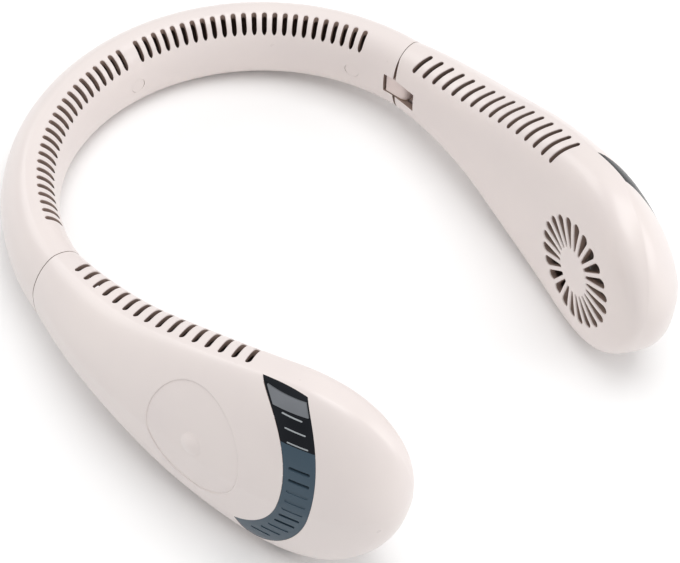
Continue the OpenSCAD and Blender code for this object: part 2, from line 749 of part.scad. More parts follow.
module motor_bearings(side) {
    color("silver") stance() mirrored(side) for (u = [impeller_u + hub_t + 1, volute_u - bearing_h - 0.1])
        on_fan(u) difference() {
            cylinder(r = bearing_r, h = bearing_h, $fn = 48);
            translate([0, 0, -1]) cylinder(r = shaft_r + run, h = 4, $fn = 32);
        }
}
module motor_stator(side) {
    color([0.75, 0.45, 0.25]) stance() mirrored(side) on_fan(impeller_u + hub_t + 1.6) difference() {
        union() {
            cylinder(r = tube_r + 0.9, h = stator_h, $fn = 48);
            for (i = [0 : 5]) rotate(60 * i) {
                translate([0, -0.9, 0]) cube([stator_r - 0.5, 1.8, stator_h]);
                intersection() {
                    difference() {
                        cylinder(r = stator_r, h = stator_h, $fn = 64);
                        translate([0, 0, -1]) cylinder(r = stator_r - 1, h = stator_h + 2, $fn = 64);
                    }
                    translate([0, -2, -1]) cube([stator_r + 1, 4, stator_h + 2]);
                }
            }
        }
        translate([0, 0, -1]) cylinder(r = tube_r, h = stator_h + 2, $fn = 48);
    }
}
// Back plate of the blower, the tube that holds the bearings and the wall round the impeller, open to the duct
module volute(side) {
    depth = volute_u - impeller_u;
    color([0.3, 0.3, 0.32]) stance() mirrored(side) on_fan(impeller_u) difference() {
        union() {
            translate([0, 0, depth]) cylinder(r = volute_r + volute_wall, h = volute_t, $fn = 96);
            translate([0, 0, hub_t + 0.9]) cylinder(r = tube_r, h = depth - hub_t - 0.8, $fn = 48);
            difference() {
                cylinder(r = volute_r + volute_wall, h = depth + 0.1, $fn = 96);
                translate([0, 0, -1]) cylinder(r = volute_r, h = 20, $fn = 96);
                translate([-40, 2, -1]) cube([35, 40, depth + 1]);
            }
            for (a = volute_lugs) rotate(a) translate([lug_ring, 0, 0]) {
                cylinder(r = lug_r, h = a == 150 ? depth + volute_t : 3, $fn = 32);
                translate([-4, -1, 0]) cube([3, 2, a == 150 ? depth + volute_t : 3]);
            }
            for (p = board_posts) translate([p[0], p[1], depth]) cylinder(r = 1.5, h = volute_t + board_post, $fn = 32);
        }
        cylinder(r = bearing_r, h = depth + 0.01, $fn = 48);
    }
}

// ---------------------------------------------------------------- electrics and fixings

board_from = [-17, -29];
board_size = [19, 39];
board_posts = [[-11, 6], [-1, -12]];
board_u = volute_u + volute_t + board_post;
socket_w = 8.9;
socket_t = 3.2;
socket_len = 7.3;
socket_y = -8;             // from the fan's axis along the arm
socket_u = board_u + board_t + socket_t / 2;
socket_recess = 0.8;       // under the arm's surface
socket_low = under_w(fan_at + socket_y, socket_u) + socket_recess - fan_w;
stem_len = 3.6;            // reach of the key's stem under the strip
switch_top = face_u(switch_place, strip_t) - stem_len;
switch_u = switch_top - 2.6;

module cover_screws(side) {
    color("silver") stance() mirrored(side) for (a = cover_boss_angles)
        on_face(cover_screw_place(a), head_seat(a) + head_t) rotate([180, 0, 0]) screw(cover_screw_len);
}
module cell(side) {
    color([0.25, 0.45, 0.75]) stance() mirrored(side) on_arm(cell_at, cell_w) translate([cell_u, 0, 0]) rotate([90, 0, 0])
        linear_extrude(cell_len, center = true) {
            square([cell_t - 2, cell_h], center = true);
            square([cell_t, cell_h - 2], center = true);
            for (a = [-1, 1], b = [-1, 1]) translate([a * (cell_t / 2 - 1), b * (cell_h / 2 - 1)]) circle(r = 1, $fn = 24);
        }
}
module main_board() {
    color([0.1, 0.4, 0.2]) stance() on_fan(board_u) translate([board_from[0], board_from[1], 0])
        cube([board_size[0], board_size[1], board_t]);
}
module key_switch() {
    color([0.15, 0.15, 0.15]) stance() on_face(switch_place, switch_u) {
        translate([-1.7, -2.5, 0]) cube([3.4, 2.7, switch_top - switch_u - 0.5]);
        cylinder(r = 0.9, h = switch_top - switch_u, $fn = 24);
    }
}
module charging_socket() {
    color("silver") stance() on_fan(socket_u) translate([socket_y, socket_low, 0]) rotate([-90, 0, 0]) difference() {
        linear_extrude(socket_len) slot_outline(socket_w, socket_t);
        translate([0, 0, -1]) linear_extrude(socket_len) slot_outline(socket_w - 0.6, socket_t - 0.6);
    }
}

band_outer_shell();
band_inner_shell();
band_plugs();
band_screws();
band_wire_loom();
band_hinge(1);  // right_band_hinge
band_hinge(-1);  // left_band_hinge
hinge_pin(1);  // right_hinge_pin
hinge_pin(-1);  // left_hinge_pin
hinge_washers();
inner_shell(1);  // right_inner_shell
outer_cover(1);  // right_outer_cover
dish_cap(1);  // right_dish_cap
display_window(1);  // right_display_window
vented_strip(1);  // right_vented_strip
arm_hinge(1);  // right_arm_hinge
volute(1);  // right_volute
motor_stator(1);  // right_motor_stator
motor_bearings(1);  // right_motor_bearings
impeller(1);  // right_impeller
rotor_ring(1);  // right_rotor_ring
motor_shaft(1);  // right_motor_shaft
cover_screws(1);  // right_cover_screws
cell(1);  // right_cell
light_bars();
power_key();
key_switch();
main_board();
charging_socket();
inner_shell(-1);  // left_inner_shell
outer_cover(-1);  // left_outer_cover
dish_cap(-1);  // left_dish_cap
display_window(-1);  // left_display_window
vented_strip(-1);  // left_vented_strip
arm_hinge(-1);  // left_arm_hinge
volute(-1);  // left_volute
motor_stator(-1);  // left_motor_stator
motor_bearings(-1);  // left_motor_bearings
impeller(-1);  // left_impeller
rotor_ring(-1);  // left_rotor_ring
motor_shaft(-1);  // left_motor_shaft
cover_screws(-1);  // left_cover_screws
cell(-1);  // left_cell
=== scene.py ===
import math

import bpy
import numpy as np
from mathutils import Matrix, Vector
from mathutils.bvhtree import BVHTree


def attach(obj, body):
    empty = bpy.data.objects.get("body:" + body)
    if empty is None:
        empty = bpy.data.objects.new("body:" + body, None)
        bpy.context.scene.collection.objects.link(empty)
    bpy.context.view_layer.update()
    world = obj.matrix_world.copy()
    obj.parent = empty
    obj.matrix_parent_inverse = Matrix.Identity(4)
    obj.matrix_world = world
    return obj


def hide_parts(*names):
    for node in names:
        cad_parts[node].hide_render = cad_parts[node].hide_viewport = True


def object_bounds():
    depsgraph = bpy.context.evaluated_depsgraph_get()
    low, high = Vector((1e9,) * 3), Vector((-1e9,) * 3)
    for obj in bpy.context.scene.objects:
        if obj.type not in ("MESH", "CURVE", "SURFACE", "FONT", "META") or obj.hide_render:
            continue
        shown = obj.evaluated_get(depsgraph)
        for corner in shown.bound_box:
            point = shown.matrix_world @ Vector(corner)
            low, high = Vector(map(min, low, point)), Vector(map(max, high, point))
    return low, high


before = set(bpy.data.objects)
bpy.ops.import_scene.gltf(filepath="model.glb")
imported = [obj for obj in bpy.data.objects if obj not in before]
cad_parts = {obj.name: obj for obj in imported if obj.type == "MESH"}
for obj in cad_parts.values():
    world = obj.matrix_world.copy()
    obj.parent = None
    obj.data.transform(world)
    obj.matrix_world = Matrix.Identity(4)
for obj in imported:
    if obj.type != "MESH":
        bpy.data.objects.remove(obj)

cad_box = [list(corner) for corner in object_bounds()]

# The shells, cap, strip, key and lights of the neck fan are made again here from the part's own sizes, with finer
# skins and softened slot edges. They are worked in millimetres in the neck plane, where the band is level, for the
# right arm, and then stand on the floor as the part does. The left arm is the right one mirrored.

# ------------------------------------------------------------------ sizes of the part, in millimetres

# Gaps between the pieces
SEAM_GAP, SEAT, KEY_GAP = 0.3, 0.1, 0.3

# Neck band, its air slots, and how much it is flattened where it stands
BAND_R, BAND_HALF_ANGLE, BAND_T, BAND_H, WALL = 80.3, 82.6, 20.0, 29.7, 2.2
BAND_A, BAND_W = BAND_T / 2, BAND_H / 2
BAND_SLOTS, BAND_SLOT_PITCH, BAND_SLOT_LEN, SLOT_W = 24, 4.07, 5.6, 1.8
BAND_SLOT_U, BAND_SLOT_FLOOR = -0.61 * BAND_A, 2.0
FOOT_FLAT = 0.5

# Arm: its reach from the centre line at five even distances, seam to tip, and how the pod's end rounds off
ARM_LEN, ARM_R = 147.5, 229.0
ARM_OUT = [BAND_T / 2, 14.4, 17.1, 19.1, 17.8]
ARM_IN = [BAND_T / 2, 13.7, 15.2, 14.2, 11.1]
ARM_TOP = [BAND_H / 2, 20.5, 32.1, 40.9, 45.2]
ARM_BOTTOM = [BAND_H / 2, 17.2, 27.0, 32.5, 32.7]
POD_ROUND_FROM, POD_THIN_FROM, POD_ROUND, POD_THIN = 0.69, 0.81, 2.1, 2.3
DUCT_BACK = 1000.0  # past the tip of an arm

# Fullness of a section's quarters: inner upper, inner lower, outer upper, outer lower. The band's becomes the pod's
# over the first stretch of the arm.
BAND_FORM = np.array([2.4, 2.2, 1.7, 3.0])
POD_FORM = np.array([3.3, 3.3, 1.45, 2.9])
FORM_BLEND = 60.0

# Arm air slots, which lengthen, straighten and drift inward from the seam on
ARM_SLOTS, ARM_SLOT_FIRST, ARM_SLOT_PITCH, ARM_SLOT_DEPTH = 16, 9.4, 5.3, 4.5
ARM_SLOT_LEN, ARM_SLOT_GAIN, ARM_SLOT_SLANT = 9.0, 2.8, 18.0
ARM_SLOT_U, ARM_SLOT_DRIFT = 5.5, 2.2

# Intake grille round the fan's axis: a plain hub, then slots that widen outward
FAN_AT, FAN_W = ARM_LEN - 31.0, 4.0
GRILLE_R, GRILLE_HUB_R, GRILLE_SLOTS, GRILLE_IN, GRILLE_OUT = 20.0, 8.6, 22, 1.1, 3.6
GRILLE_DEPTH, GRILLE_LIP = 6.0, 0.28

# Softened lip of the slots, and its rings: growth as a share of the lip's width, height as a share of its fall. The
# first ring is wider than the lip and over the skin.
LIP, LIP_CLEAR, LIP_OVER = 0.32, 0.2, 0.25
LIP_RINGS = ((0.42, -0.2), (0.12, -0.55), (0, -1.05))
SLOT_TOP, SLOT_OVER, SLOT_RIM = BAND_W + 6, 0.3, 0.4

# Hinge at the seam: pin, eyes, window for the band's eye, notch in the band and pocket for the arm's end plate
PIN_R, EYE_R, EYE_TOP, EYE_WALL, EYE_PLAY = 1.1, 2.9, 7.0, 1.1, 0.15
PIN_U = -(BAND_A - EYE_R - 0.5)
PIN_Y = EYE_R + 0.5 * SEAM_GAP + 0.25
WINDOW_H, WINDOW_LEN, WINDOW_PLAY = 8.0, 10.8, 0.3
NOTCH_BACK, NOTCH_FRONT = -4.35, 2.25
PLATE_FRONT, POCKET_T, POCKET_IN, POCKET_OUT = SEAM_GAP / 2 + 1.2, 1.2, 0.8, 7.2
FOLD_MAX, FOLD_MARGIN = 15.0, 2
RELIEF_PAST, RELIEF_BACK, RELIEF_H = 6, -3, 60

# Band plugs, the screws under them and the bosses and posts that they clamp
PLUG_ANGLES, PLUG_R, PLUG_T, PLUG_W = (-68, 0, 68), 2.8, 1.2, -1
PLUG_FLOOR = -BAND_A + SEAT + PLUG_T + SEAT
HEAD_R, HEAD_T, SCREW_R, SCREW_HOLE, CLAMP_T = 2.1, 1.6, 1.1, 7.5, 2.0
HEAD_FLOOR = PLUG_FLOOR + HEAD_T + SEAT
BOSS_R, POST_R, POST_GAP, POST_ROOT = 4.0, 3.0, 0.05, 0.25

# Trim strip, set out from a point of the outer face: gloss window above, vented part below
FACE_AT = ARM_LEN - 65.2
STRIP_CENTRE, STRIP_IN_R, STRIP_OUT_R, STRIP_T, STRIP_SINK = (4.2, 11.0), 29.0, 39.1, 1.1, 0.05
STRIP_START, STRIP_END, STRIP_END_PLAY = 88, 66.0, 0.2
STRIP_FROM, STRIP_TO = FACE_AT + 6, FACE_AT + 45
MID_R = (STRIP_IN_R + STRIP_OUT_R) / 2
WINDOW_LOW, VENTS, OPEN_VENTS, VENT_PITCH, VENT_W, VENT_GROOVE = 26.5, 10, (0, 1, 5, 6), 3.9, 1.1, 0.25
VENT_TOP, VENT_LEN = WINDOW_LOW - 6.7, STRIP_OUT_R - STRIP_IN_R - 3.1
BAR_LOW, BAR_PITCH, BAR_W, BAR_PLAY, TOP_BAR_DROP = WINDOW_LOW + 0.6, 3.5, 0.38, 0.04, 0.7
KEY_LOW, KEY_W, KEY_SLOPE, KEY_FROM, KEY_MARGIN = 34.8, 3.1, 3, 25.0, 0.6
KEY_ROOT, KEY_HOLE_FROM, KEY_TRAVEL = 0.7, -3, 0.6
SWITCH_AT, SWITCH_H, STEM_R = (26.5, KEY_LOW + 0.9), 3.6, 0.8

# Dish cap within the strip's ring, the dome in its middle and the cover's screws under it
DISH_CENTRE, DISH_R, DISH_DEPTH, DISH_LIP, DISH_LIP_FALL = (-1.0, 8.0), 18.6, 0.4, 0.8, 0.38
DISH_SINK, DISH_CUT = STRIP_T + DISH_DEPTH, 12
CAP_T, CAP_GAP, CAP_PAST = STRIP_T - 0.15, 0.02, 1
DOME_R = 3.0
DOME_FOOT, DOME_H, DOME_CURVE, DOME_ROOT = DOME_R + 1.1, 0.38 * DOME_R, 1.6, 0.5
DOME_RINGS = (0.985, 0.94, 0.87, 0.79, 0.7, 0.6, 0.5, 0.4, 0.3, 0.2, 0.1, 0.02)
SINK_FROM, SINK_TO = FACE_AT - 32, FACE_AT + 50
COVER_SCREW_R, COVER_SCREW_ANGLES, COVER_HEAD_FLOOR = 11.5, (45, 165, 285), 2.5
COVER_SCREWS = [(DISH_CENTRE[0] + COVER_SCREW_R * math.cos(math.radians(a)),
                 DISH_CENTRE[1] + COVER_SCREW_R * math.sin(math.radians(a))) for a in COVER_SCREW_ANGLES]

# Charging socket: behind the impeller, the volute's back and the board, and the opening that leads to it from below
IMPELLER_U, BLADE_W, IMPELLER_BACK_T, RUN_GAP = -7.6, 7.6, 1, 0.9
VOLUTE_T, BOARD_POST, BOARD_T, SOCKET_T = 1.6, 2, 1.2, 3.2
SOCKET_U = IMPELLER_U + BLADE_W + IMPELLER_BACK_T + RUN_GAP + VOLUTE_T + BOARD_POST + BOARD_T + SOCKET_T / 2
SOCKET_Y, SOCKET_WAY_FROM, SOCKET_WAY_LEN, SOCKET_WAY_W, SOCKET_WAY_T = -8.0, -60, 45, 9.5, 3.8

# How the work is done
TOOL_REACH, TOOL_PAST, OVERLAP = 40, 2, 0.5  # how far tools stand out of a face, go past a wall and overlap
# SHOWN_WITHIN: how near a face must be to a skin to keep its own finish. Faces farther away get the painted shade.
RAY_FROM, ON_SKIN, SHOWN_WITHIN = 30.0, 0.003, 0.5  # from how far a skin is sought, how near a point is on it, shows
FACING, SHARP_ANGLE = 0.5, 38  # least agreement of a face with its skin's normal, and from which angle edges are sharp
SIDE_PARTS, TIP_TURN = 13, 89.8  # parts of a straight side, and the last ring's turn of the 90 degrees to a tip
BAND_RINGS, BAND_AROUND, BORE_RINGS, BORE_AROUND, BORE_PAST = 201, 44, 97, 40, 3  # the band's skins and its bore
DISH_STEPS, SOCKET_END_STEPS = 120, 13
SECTION_SAMPLES, SLOPE_SHARE, SLOPE_TURN = 160, 1e-4, 0.4  # samples of a half section, and steps that give a slope
BOX_MARGIN = 0.01  # by which the visual model stays inside the part's box


# ------------------------------------------------------------------ sections of the duct

def through(values, t):
    """A smooth curve through evenly spaced values."""
    v = np.asarray(values)
    n = len(v) - 1
    q = np.clip(t, 0, 1) * n
    i = np.minimum(q.astype(int), n - 1)
    f = q - i
    b, c = v[i], v[i + 1]
    a = np.where(i > 0, v[np.maximum(i - 1, 0)], 2 * b - c)
    d = np.where(i < n - 1, v[np.minimum(i + 2, n)], 2 * c - b)
    return 0.5 * (2 * b + (c - a) * f + (2 * a - 5 * b + 4 * c - d) * f**2 + (3 * b - 3 * c + d - a) * f**3)


def rounded(x, length, start, roundness):
    """The share of its size that a duct still has at x, where it rounds off from a share of its length on."""
    q = np.clip((x / length - start) / (1 - start), 0, 1)
    return np.maximum(1 - q**roundness, 0) ** (1 / roundness)


def arm_section(x, inset=0.0):
    """Inward and outward reach, middle height, half height and the four fullnesses of the arm at x."""
    x = np.asarray(x, float)
    t, length = x / ARM_LEN, ARM_LEN - inset
    top, low = through(ARM_TOP, t), -through(ARM_BOTTOM, t)
    thin = rounded(x, length, POD_THIN_FROM, POD_THIN)
    high = rounded(x, length, POD_ROUND_FROM, POD_ROUND)
    k = np.clip(x / FORM_BLEND, 0, 1)
    k = (k * k * (3 - 2 * k))[..., None]
    return ((through(ARM_IN, t) - inset) * thin, (through(ARM_OUT, t) - inset) * thin, (top + low) / 2,
            ((top - low) / 2 - inset) * high, BAND_FORM + (POD_FORM - BAND_FORM) * k)


def band_section(angle, inset):
    """The same for the band, which has one section all along."""
    one = np.ones_like(np.asarray(angle, float))
    return (one * (BAND_A - inset), one * (BAND_A - inset), one * 0, one * (BAND_W - inset), one[..., None] * BAND_FORM)


def arm_line(x):
    """Place and heading of the arm's centre line."""
    first = math.radians(BAND_HALF_ANGLE)
    a = first + np.asarray(x, float) / ARM_R
    seam = (BAND_R * math.sin(first), BAND_R * (1 - math.cos(first)))
    return seam[0] + ARM_R * (np.sin(a) - math.sin(first)), seam[1] + ARM_R * (math.cos(first) - np.cos(a)), a


def band_line(angle):
    """Place and heading of the band's centre line."""
    a = np.radians(np.asarray(angle, float))
    return BAND_R * np.sin(a), BAND_R * (1 - np.cos(a)), a


def skin_points(section, line, s, turn, inset):
    """Points of the duct's skin at distance s and at a turn, in degrees, from straight outward."""
    inward, outward, middle, half, form = section(s, inset)
    c, v = np.cos(np.radians(turn)), np.sin(np.radians(turn))
    out, up = c >= 0, v >= 0
    e = np.take_along_axis(form, (np.where(out, 2, 0) + np.where(up, 0, 1))[..., None], -1)[..., 0]
    u = np.where(out, outward, -inward) * np.abs(c) ** (2 / e)
    w = middle + np.where(up, 1, -1) * half * np.abs(v) ** (2 / e)
    x, y, a = line(s)
    return np.stack([x + u * np.sin(a), y - u * np.cos(a), w], -1)


def surface_u(place, inset):
    """Outward distance of the arm's skin at a place of the outer face."""
    _, outward, middle, half, form = arm_section(FACE_AT + place[0], inset)
    w = place[1] - middle
    e = form[2] if w > 0 else form[3]
    return float(outward * (1 - (abs(w) / half) ** e) ** (1 / e) - place[0] ** 2 / 2 / ARM_R)


def crown(x, u):
    """Height and slope of the arm's inner upper quarter over u."""
    def height(v):
        inward, _, middle, half, form = arm_section(x)
        return float(middle + half * (1 - (-v / inward) ** form[0]) ** (1 / form[0]))
    return height(u), math.degrees(math.atan(height(u + 0.5) - height(u - 0.5)))


# ------------------------------------------------------------------ places

def turned(axis, degrees):
    return Matrix.Rotation(math.radians(degrees), 4, axis)


def moved(x, y, z):
    return Matrix.Translation((x, y, z))


def on_arm(x, w=0.0):
    """A place on an arm's centre line: X outward, Y along the arm, Z up."""
    px, py, a = arm_line(x)
    return moved(float(px), float(py), w) @ turned("Z", math.degrees(float(a)) - 90)


def on_band(angle, u, w):
    """A place in the band, with the same axes."""
    return moved(0, BAND_R, 0) @ turned("Z", angle - 90) @ moved(BAND_R + u, 0, w)


TO_FACE = turned("Z", 90) @ turned("X", 90)


def on_face(centre, u=0.0):
    """A place of the outer face: X along the arm, Y up, Z outward."""
    return on_arm(FACE_AT) @ TO_FACE @ moved(centre[0], centre[1], u)


def on_fan(u=0.0):
    """A place on the fan's axis, with the axes of the outer face."""
    return on_arm(FAN_AT, FAN_W) @ TO_FACE @ moved(0, 0, u)


# ------------------------------------------------------------------ solids

def coordinates(mesh):
    """The mesh's points, one a row."""
    co = np.empty(len(mesh.vertices) * 3, np.float32)
    mesh.vertices.foreach_get("co", co)
    return co.reshape(-1, 3).astype(float)


def closed_mesh(points, faces):
    """A mesh whose faces look outward."""
    points = np.asarray(points, float)
    volume = 0.0
    for f in faces:
        a = points[f[0]]
        for i in range(1, len(f) - 1):
            volume += float(np.dot(a, np.cross(points[f[i]], points[f[i + 1]])))
    if volume < 0:
        faces = [f[::-1] for f in faces]
    mesh = bpy.data.meshes.new("work")
    mesh.from_pydata(points.tolist(), [], faces)
    return mesh


def loft(rings):
    """A closed solid through rings of equally many points."""
    rings = np.asarray(rings, float)
    m, n = rings.shape[:2]
    faces = [list(range(n)), list(range((m - 1) * n + n - 1, (m - 1) * n - 1, -1))]
    for j in range(m - 1):
        for i in range(n):
            a, b = j * n + i, j * n + (i + 1) % n
            faces += [[b, a, a + n], [b, a + n, b + n]]
    return closed_mesh(rings.reshape(-1, 3), faces)


def seen_from(place, points):
    """Points of a place's own axes, in the neck plane's."""
    m = np.array(place)
    return np.asarray(points, float) @ m[:3, :3].T + m[:3, 3]


def prism(place, outline, low, high):
    """An outline of the place's own XY plane, raised from low to high."""
    outline = np.asarray(outline, float)
    rings = [np.column_stack([outline, np.full(len(outline), z)]) for z in (low, high)]
    return loft([seen_from(place, r) for r in rings])


def circle(radius, steps):
    a = np.linspace(0, 2 * math.pi, steps, endpoint=False)
    return np.column_stack([radius * np.cos(a), radius * np.sin(a)])


def rectangle(x0, y0, x1, y1):
    return np.array([[x0, y0], [x1, y0], [x1, y1], [x0, y1]], float)


def closed_by_sides(arcs):
    """Arcs joined by straight sides, which are split so that they can follow a curved skin."""
    t = np.linspace(0, 1, SIDE_PARTS + 1)[1:-1, None]
    rows = []
    for arc, following in zip(arcs, arcs[1:] + arcs[:1]):
        rows += [arc, arc[-1] * (1 - t) + following[0] * t]
    return np.vstack(rows)


def bar(length, width, steps=9):
    """A bar with round ends along X."""
    a = np.radians(np.linspace(-90, 90, steps))
    end = np.column_stack([(length - width) / 2 + width / 2 * np.cos(a), width / 2 * np.sin(a)])
    return closed_by_sides([end, -end])


class Skin:
    """A smooth piece of the duct's surface, which gives the pieces cut from it their shading."""

    def __init__(self, section, line, s, first, last, around, inset=0.0):
        dense = first + (last - first) * quarter_steps(SECTION_SAMPLES)
        s_grid = np.repeat(np.asarray(s, float)[:, None], len(dense), 1)
        raw = skin_points(section, line, s_grid, np.repeat(dense[None], len(s), 0), inset)
        turn = np.empty((len(s), around + 1))
        for i, row in enumerate(raw):
            run = np.concatenate([[0], np.cumsum(np.linalg.norm(np.diff(row, axis=0), axis=1))])
            turn[i] = np.interp(np.linspace(0, run[-1], around + 1), run, dense)
        place = np.repeat(np.asarray(s, float)[:, None], around + 1, 1)
        self.points = skin_points(section, line, place, turn, inset)
        step = abs(s[-1] - s[0]) * SLOPE_SHARE
        low, high = min(first, last), max(first, last)
        along = (skin_points(section, line, np.minimum(place + step, s[-1]), turn, inset)
                 - skin_points(section, line, np.maximum(place - step, s[0]), turn, inset))
        across = (skin_points(section, line, place, np.minimum(turn + SLOPE_TURN, high), inset)
                  - skin_points(section, line, place, np.maximum(turn - SLOPE_TURN, low), inset))
        normal = np.cross(along, across)
        size = np.linalg.norm(normal, axis=-1, keepdims=True)
        normal = normal / np.maximum(size, 1e-12)
        x, y, _ = line(place)
        _, _, middle, _, _ = section(place, inset)
        outward = self.points - np.stack([x, y, middle], -1)
        normal *= np.sign(np.sum(normal * outward))
        self.normals = normal.reshape(-1, 3)
        m, n = self.points.shape[:2]
        i, j = np.meshgrid(np.arange(m - 1), np.arange(n - 1), indexing="ij")
        a = (i * n + j).ravel()
        self.triangles = np.vstack([np.column_stack([a + 1, a, a + n]), np.column_stack([a + 1, a + n, a + n + 1])])
        self.tree = BVHTree.FromPolygons(self.points.reshape(-1, 3).tolist(), self.triangles.tolist())

    def solid(self):
        """The skin closed by the flat between its two edges and by its two ends."""
        m, n = self.points.shape[:2]
        faces = self.triangles.tolist()
        for j in range(m - 1):
            a, b = j * n + n - 1, j * n
            faces += [[b, a, a + n], [b, a + n, b + n]]
        faces += [list(range(n)), list(range((m - 1) * n + n - 1, (m - 1) * n - 1, -1))]
        return closed_mesh(self.points.reshape(-1, 3), faces)

    def normal_at(self, points):
        """The skin's normals at the points that lie on it, and which of the points do."""
        index = np.zeros(len(points), int)
        on = np.zeros(len(points), bool)
        for i, p in enumerate(points):
            found = self.tree.find_nearest(p, ON_SKIN)
            if found[0] is not None:
                index[i], on[i] = found[2], True
        tri = self.triangles[index]
        flat = self.points.reshape(-1, 3)
        a, b, c = flat[tri[:, 0]], flat[tri[:, 1]], flat[tri[:, 2]]
        v0, v1, v2 = b - a, c - a, points - a
        d00, d01, d11 = (v0 * v0).sum(1), (v0 * v1).sum(1), (v1 * v1).sum(1)
        d20, d21 = (v2 * v0).sum(1), (v2 * v1).sum(1)
        below = np.maximum(d00 * d11 - d01 * d01, 1e-18)
        g1, g2 = np.clip((d11 * d20 - d01 * d21) / below, 0, 1), np.clip((d00 * d21 - d01 * d20) / below, 0, 1)
        g0 = np.clip(1 - g1 - g2, 0, 1)
        mixed = (self.normals[tri[:, 0]] * g0[:, None] + self.normals[tri[:, 1]] * g1[:, None]
                 + self.normals[tri[:, 2]] * g2[:, None])
        return mixed / np.maximum(np.linalg.norm(mixed, axis=1, keepdims=True), 1e-9), on


def quarter_steps(n):
    """Shares of a half turn that lie closer together at its start, middle and end, where sections bend most."""
    q = np.linspace(0, 1, n + 1)
    q = q * q * (3 - 2 * q)
    return np.concatenate([q / 2, 0.5 + q[1:] / 2])


def arm_places(start, stop, step, inset=0.0, tip_steps=52):
    """Where an arm's rings lie: even on its length and closer together round the tip."""
    length = ARM_LEN - inset
    reach = length * POD_ROUND_FROM
    even = np.arange(0, reach, step)
    turn = np.radians(np.linspace(0, TIP_TURN, tip_steps))
    tip = length * (POD_ROUND_FROM + (1 - POD_ROUND_FROM) * np.sin(turn))
    x = np.concatenate([even[even < reach - step / 2], tip])
    x = x[(x > start + step / 3) & (x < stop - step / 3)]
    return np.concatenate([[start], x] + ([[stop]] if stop < length else []))


def arm_skin(side, inset=0.0, start=SEAM_GAP / 2, stop=DUCT_BACK, step=1.15, around=88):
    """The outer (1) or inner (-1) half of an arm's skin."""
    first = -90 if side > 0 else 90
    return Skin(arm_section, arm_line, arm_places(start, stop, step, inset), first, first + 180, around, inset)


def band_skin(side):
    """The outer (1) or inner (-1) half of the band's skin."""
    first = -90 if side > 0 else 90
    half = BAND_HALF_ANGLE - math.degrees(SEAM_GAP / 2 / BAND_R)
    return Skin(band_section, band_line, np.linspace(-half, half, BAND_RINGS), first, first + 180, BAND_AROUND)


def duct_core(section, line, s, around, inset):
    """A duct set in by a distance, as one solid through the places s."""
    turn = np.linspace(-90, 270, around, endpoint=False)
    s_grid, turn_grid = np.repeat(s[:, None], around, 1), np.repeat(turn[None], len(s), 0)
    return loft(skin_points(section, line, s_grid, turn_grid, inset))


def arm_core(inset, start=0.0, stop=DUCT_BACK, step=3.0, around=56):
    """The whole arm set in by a distance, as one solid."""
    return duct_core(arm_section, arm_line, arm_places(start, stop, step, inset, tip_steps=18), around, inset)


def band_bore():
    """The band's hollow, open past both seams."""
    half = BAND_HALF_ANGLE + BORE_PAST
    return duct_core(band_section, band_line, np.linspace(-half, half, BORE_RINGS), BORE_AROUND, WALL)


def shaped(mesh, tools, operation="DIFFERENCE"):
    """A solid with the tools cut from it, joined to it or crossed with it."""
    body = bpy.data.objects.new("body_in_work", mesh)
    bpy.context.scene.collection.objects.link(body)
    held = [body]
    for tool in tools:
        other = bpy.data.objects.new("tool_in_work", tool)
        bpy.context.scene.collection.objects.link(other)
        held.append(other)
        step = body.modifiers.new("shape", "BOOLEAN")
        step.solver, step.operation, step.object = "MANIFOLD", operation, other
    result = bpy.data.meshes.new_from_object(body.evaluated_get(bpy.context.evaluated_depsgraph_get()))
    for o in held:
        work = o.data
        bpy.data.objects.remove(o)
        bpy.data.meshes.remove(work)
    return result


def gathered(meshes):
    """Tools that do not touch each other, as one."""
    points, faces, n = [], [], 0
    for mesh in meshes:
        co = coordinates(mesh)
        points.append(co)
        faces += [[n + v for v in p.vertices] for p in mesh.polygons]
        n += len(co)
        bpy.data.meshes.remove(mesh)
    return closed_mesh(np.vstack(points), faces)


def lip_rings(lip, fall, clear):
    """Growth and height over the skin of a softened lip's rings, from one that is clear of the skin down."""
    return [(lip + LIP_CLEAR, clear)] + [(growth * lip, height * fall) for growth, height in LIP_RINGS]


def pocket(place, outline, skin, depth, lip=LIP, fall=None):
    """A cutter that enters a skin along the place's axis, with a softened lip, so wide and so deep, where it meets the
    skin. outline(grow) gives its shape, and each ring follows the skin."""
    axis = np.array(place)[:3, 2]
    fall = fall or lip

    def raised(grow):
        flat = outline(grow)
        return seen_from(place, np.column_stack([flat, np.full(len(flat), RAY_FROM)]))
    rings = [raised(lip + LIP_CLEAR)]
    for grow, height in lip_rings(lip, fall, LIP_OVER + 0.2 * fall) + [(0, -OVERLAP), (0, -depth)]:
        ring = []
        for p in raised(grow):
            hit = skin.tree.ray_cast(Vector(p), Vector(-axis))
            ring.append(np.array(hit[0]) if hit[0] is not None else p - axis * RAY_FROM)
        rings.append(np.array(ring) + axis * height)
    return loft(rings)


def slot_from_above(place, length, width, floor):
    """A band slot, cut straight down, with its lip following the steep inner skin."""
    def raised(grow, height):
        flat = bar(length + 2 * grow, width + 2 * grow)
        return seen_from(place, np.column_stack([flat, np.full(len(flat), height)]))
    rings = [raised(LIP + LIP_CLEAR, SLOT_TOP)]
    for grow, height in lip_rings(LIP, LIP, SLOT_OVER):
        ring = []
        for p in raised(grow, RAY_FROM):
            hit = band_inner.tree.ray_cast(Vector(p), Vector((0, 0, -1)))
            z = hit[0][2] if hit[0] is not None else ring[-1][2] - height
            ring.append([p[0], p[1], max(z + height, floor + SLOT_RIM)])
        rings.append(ring)
    rings.append(raised(0, floor))
    return loft(rings)


def mirrored_mesh(mesh):
    co = coordinates(mesh) * [-1, 1, 1]
    mesh.vertices.foreach_set("co", co.astype(np.float32).ravel())
    mesh.flip_normals()
    return mesh


# ------------------------------------------------------------------ from the neck plane to the floor

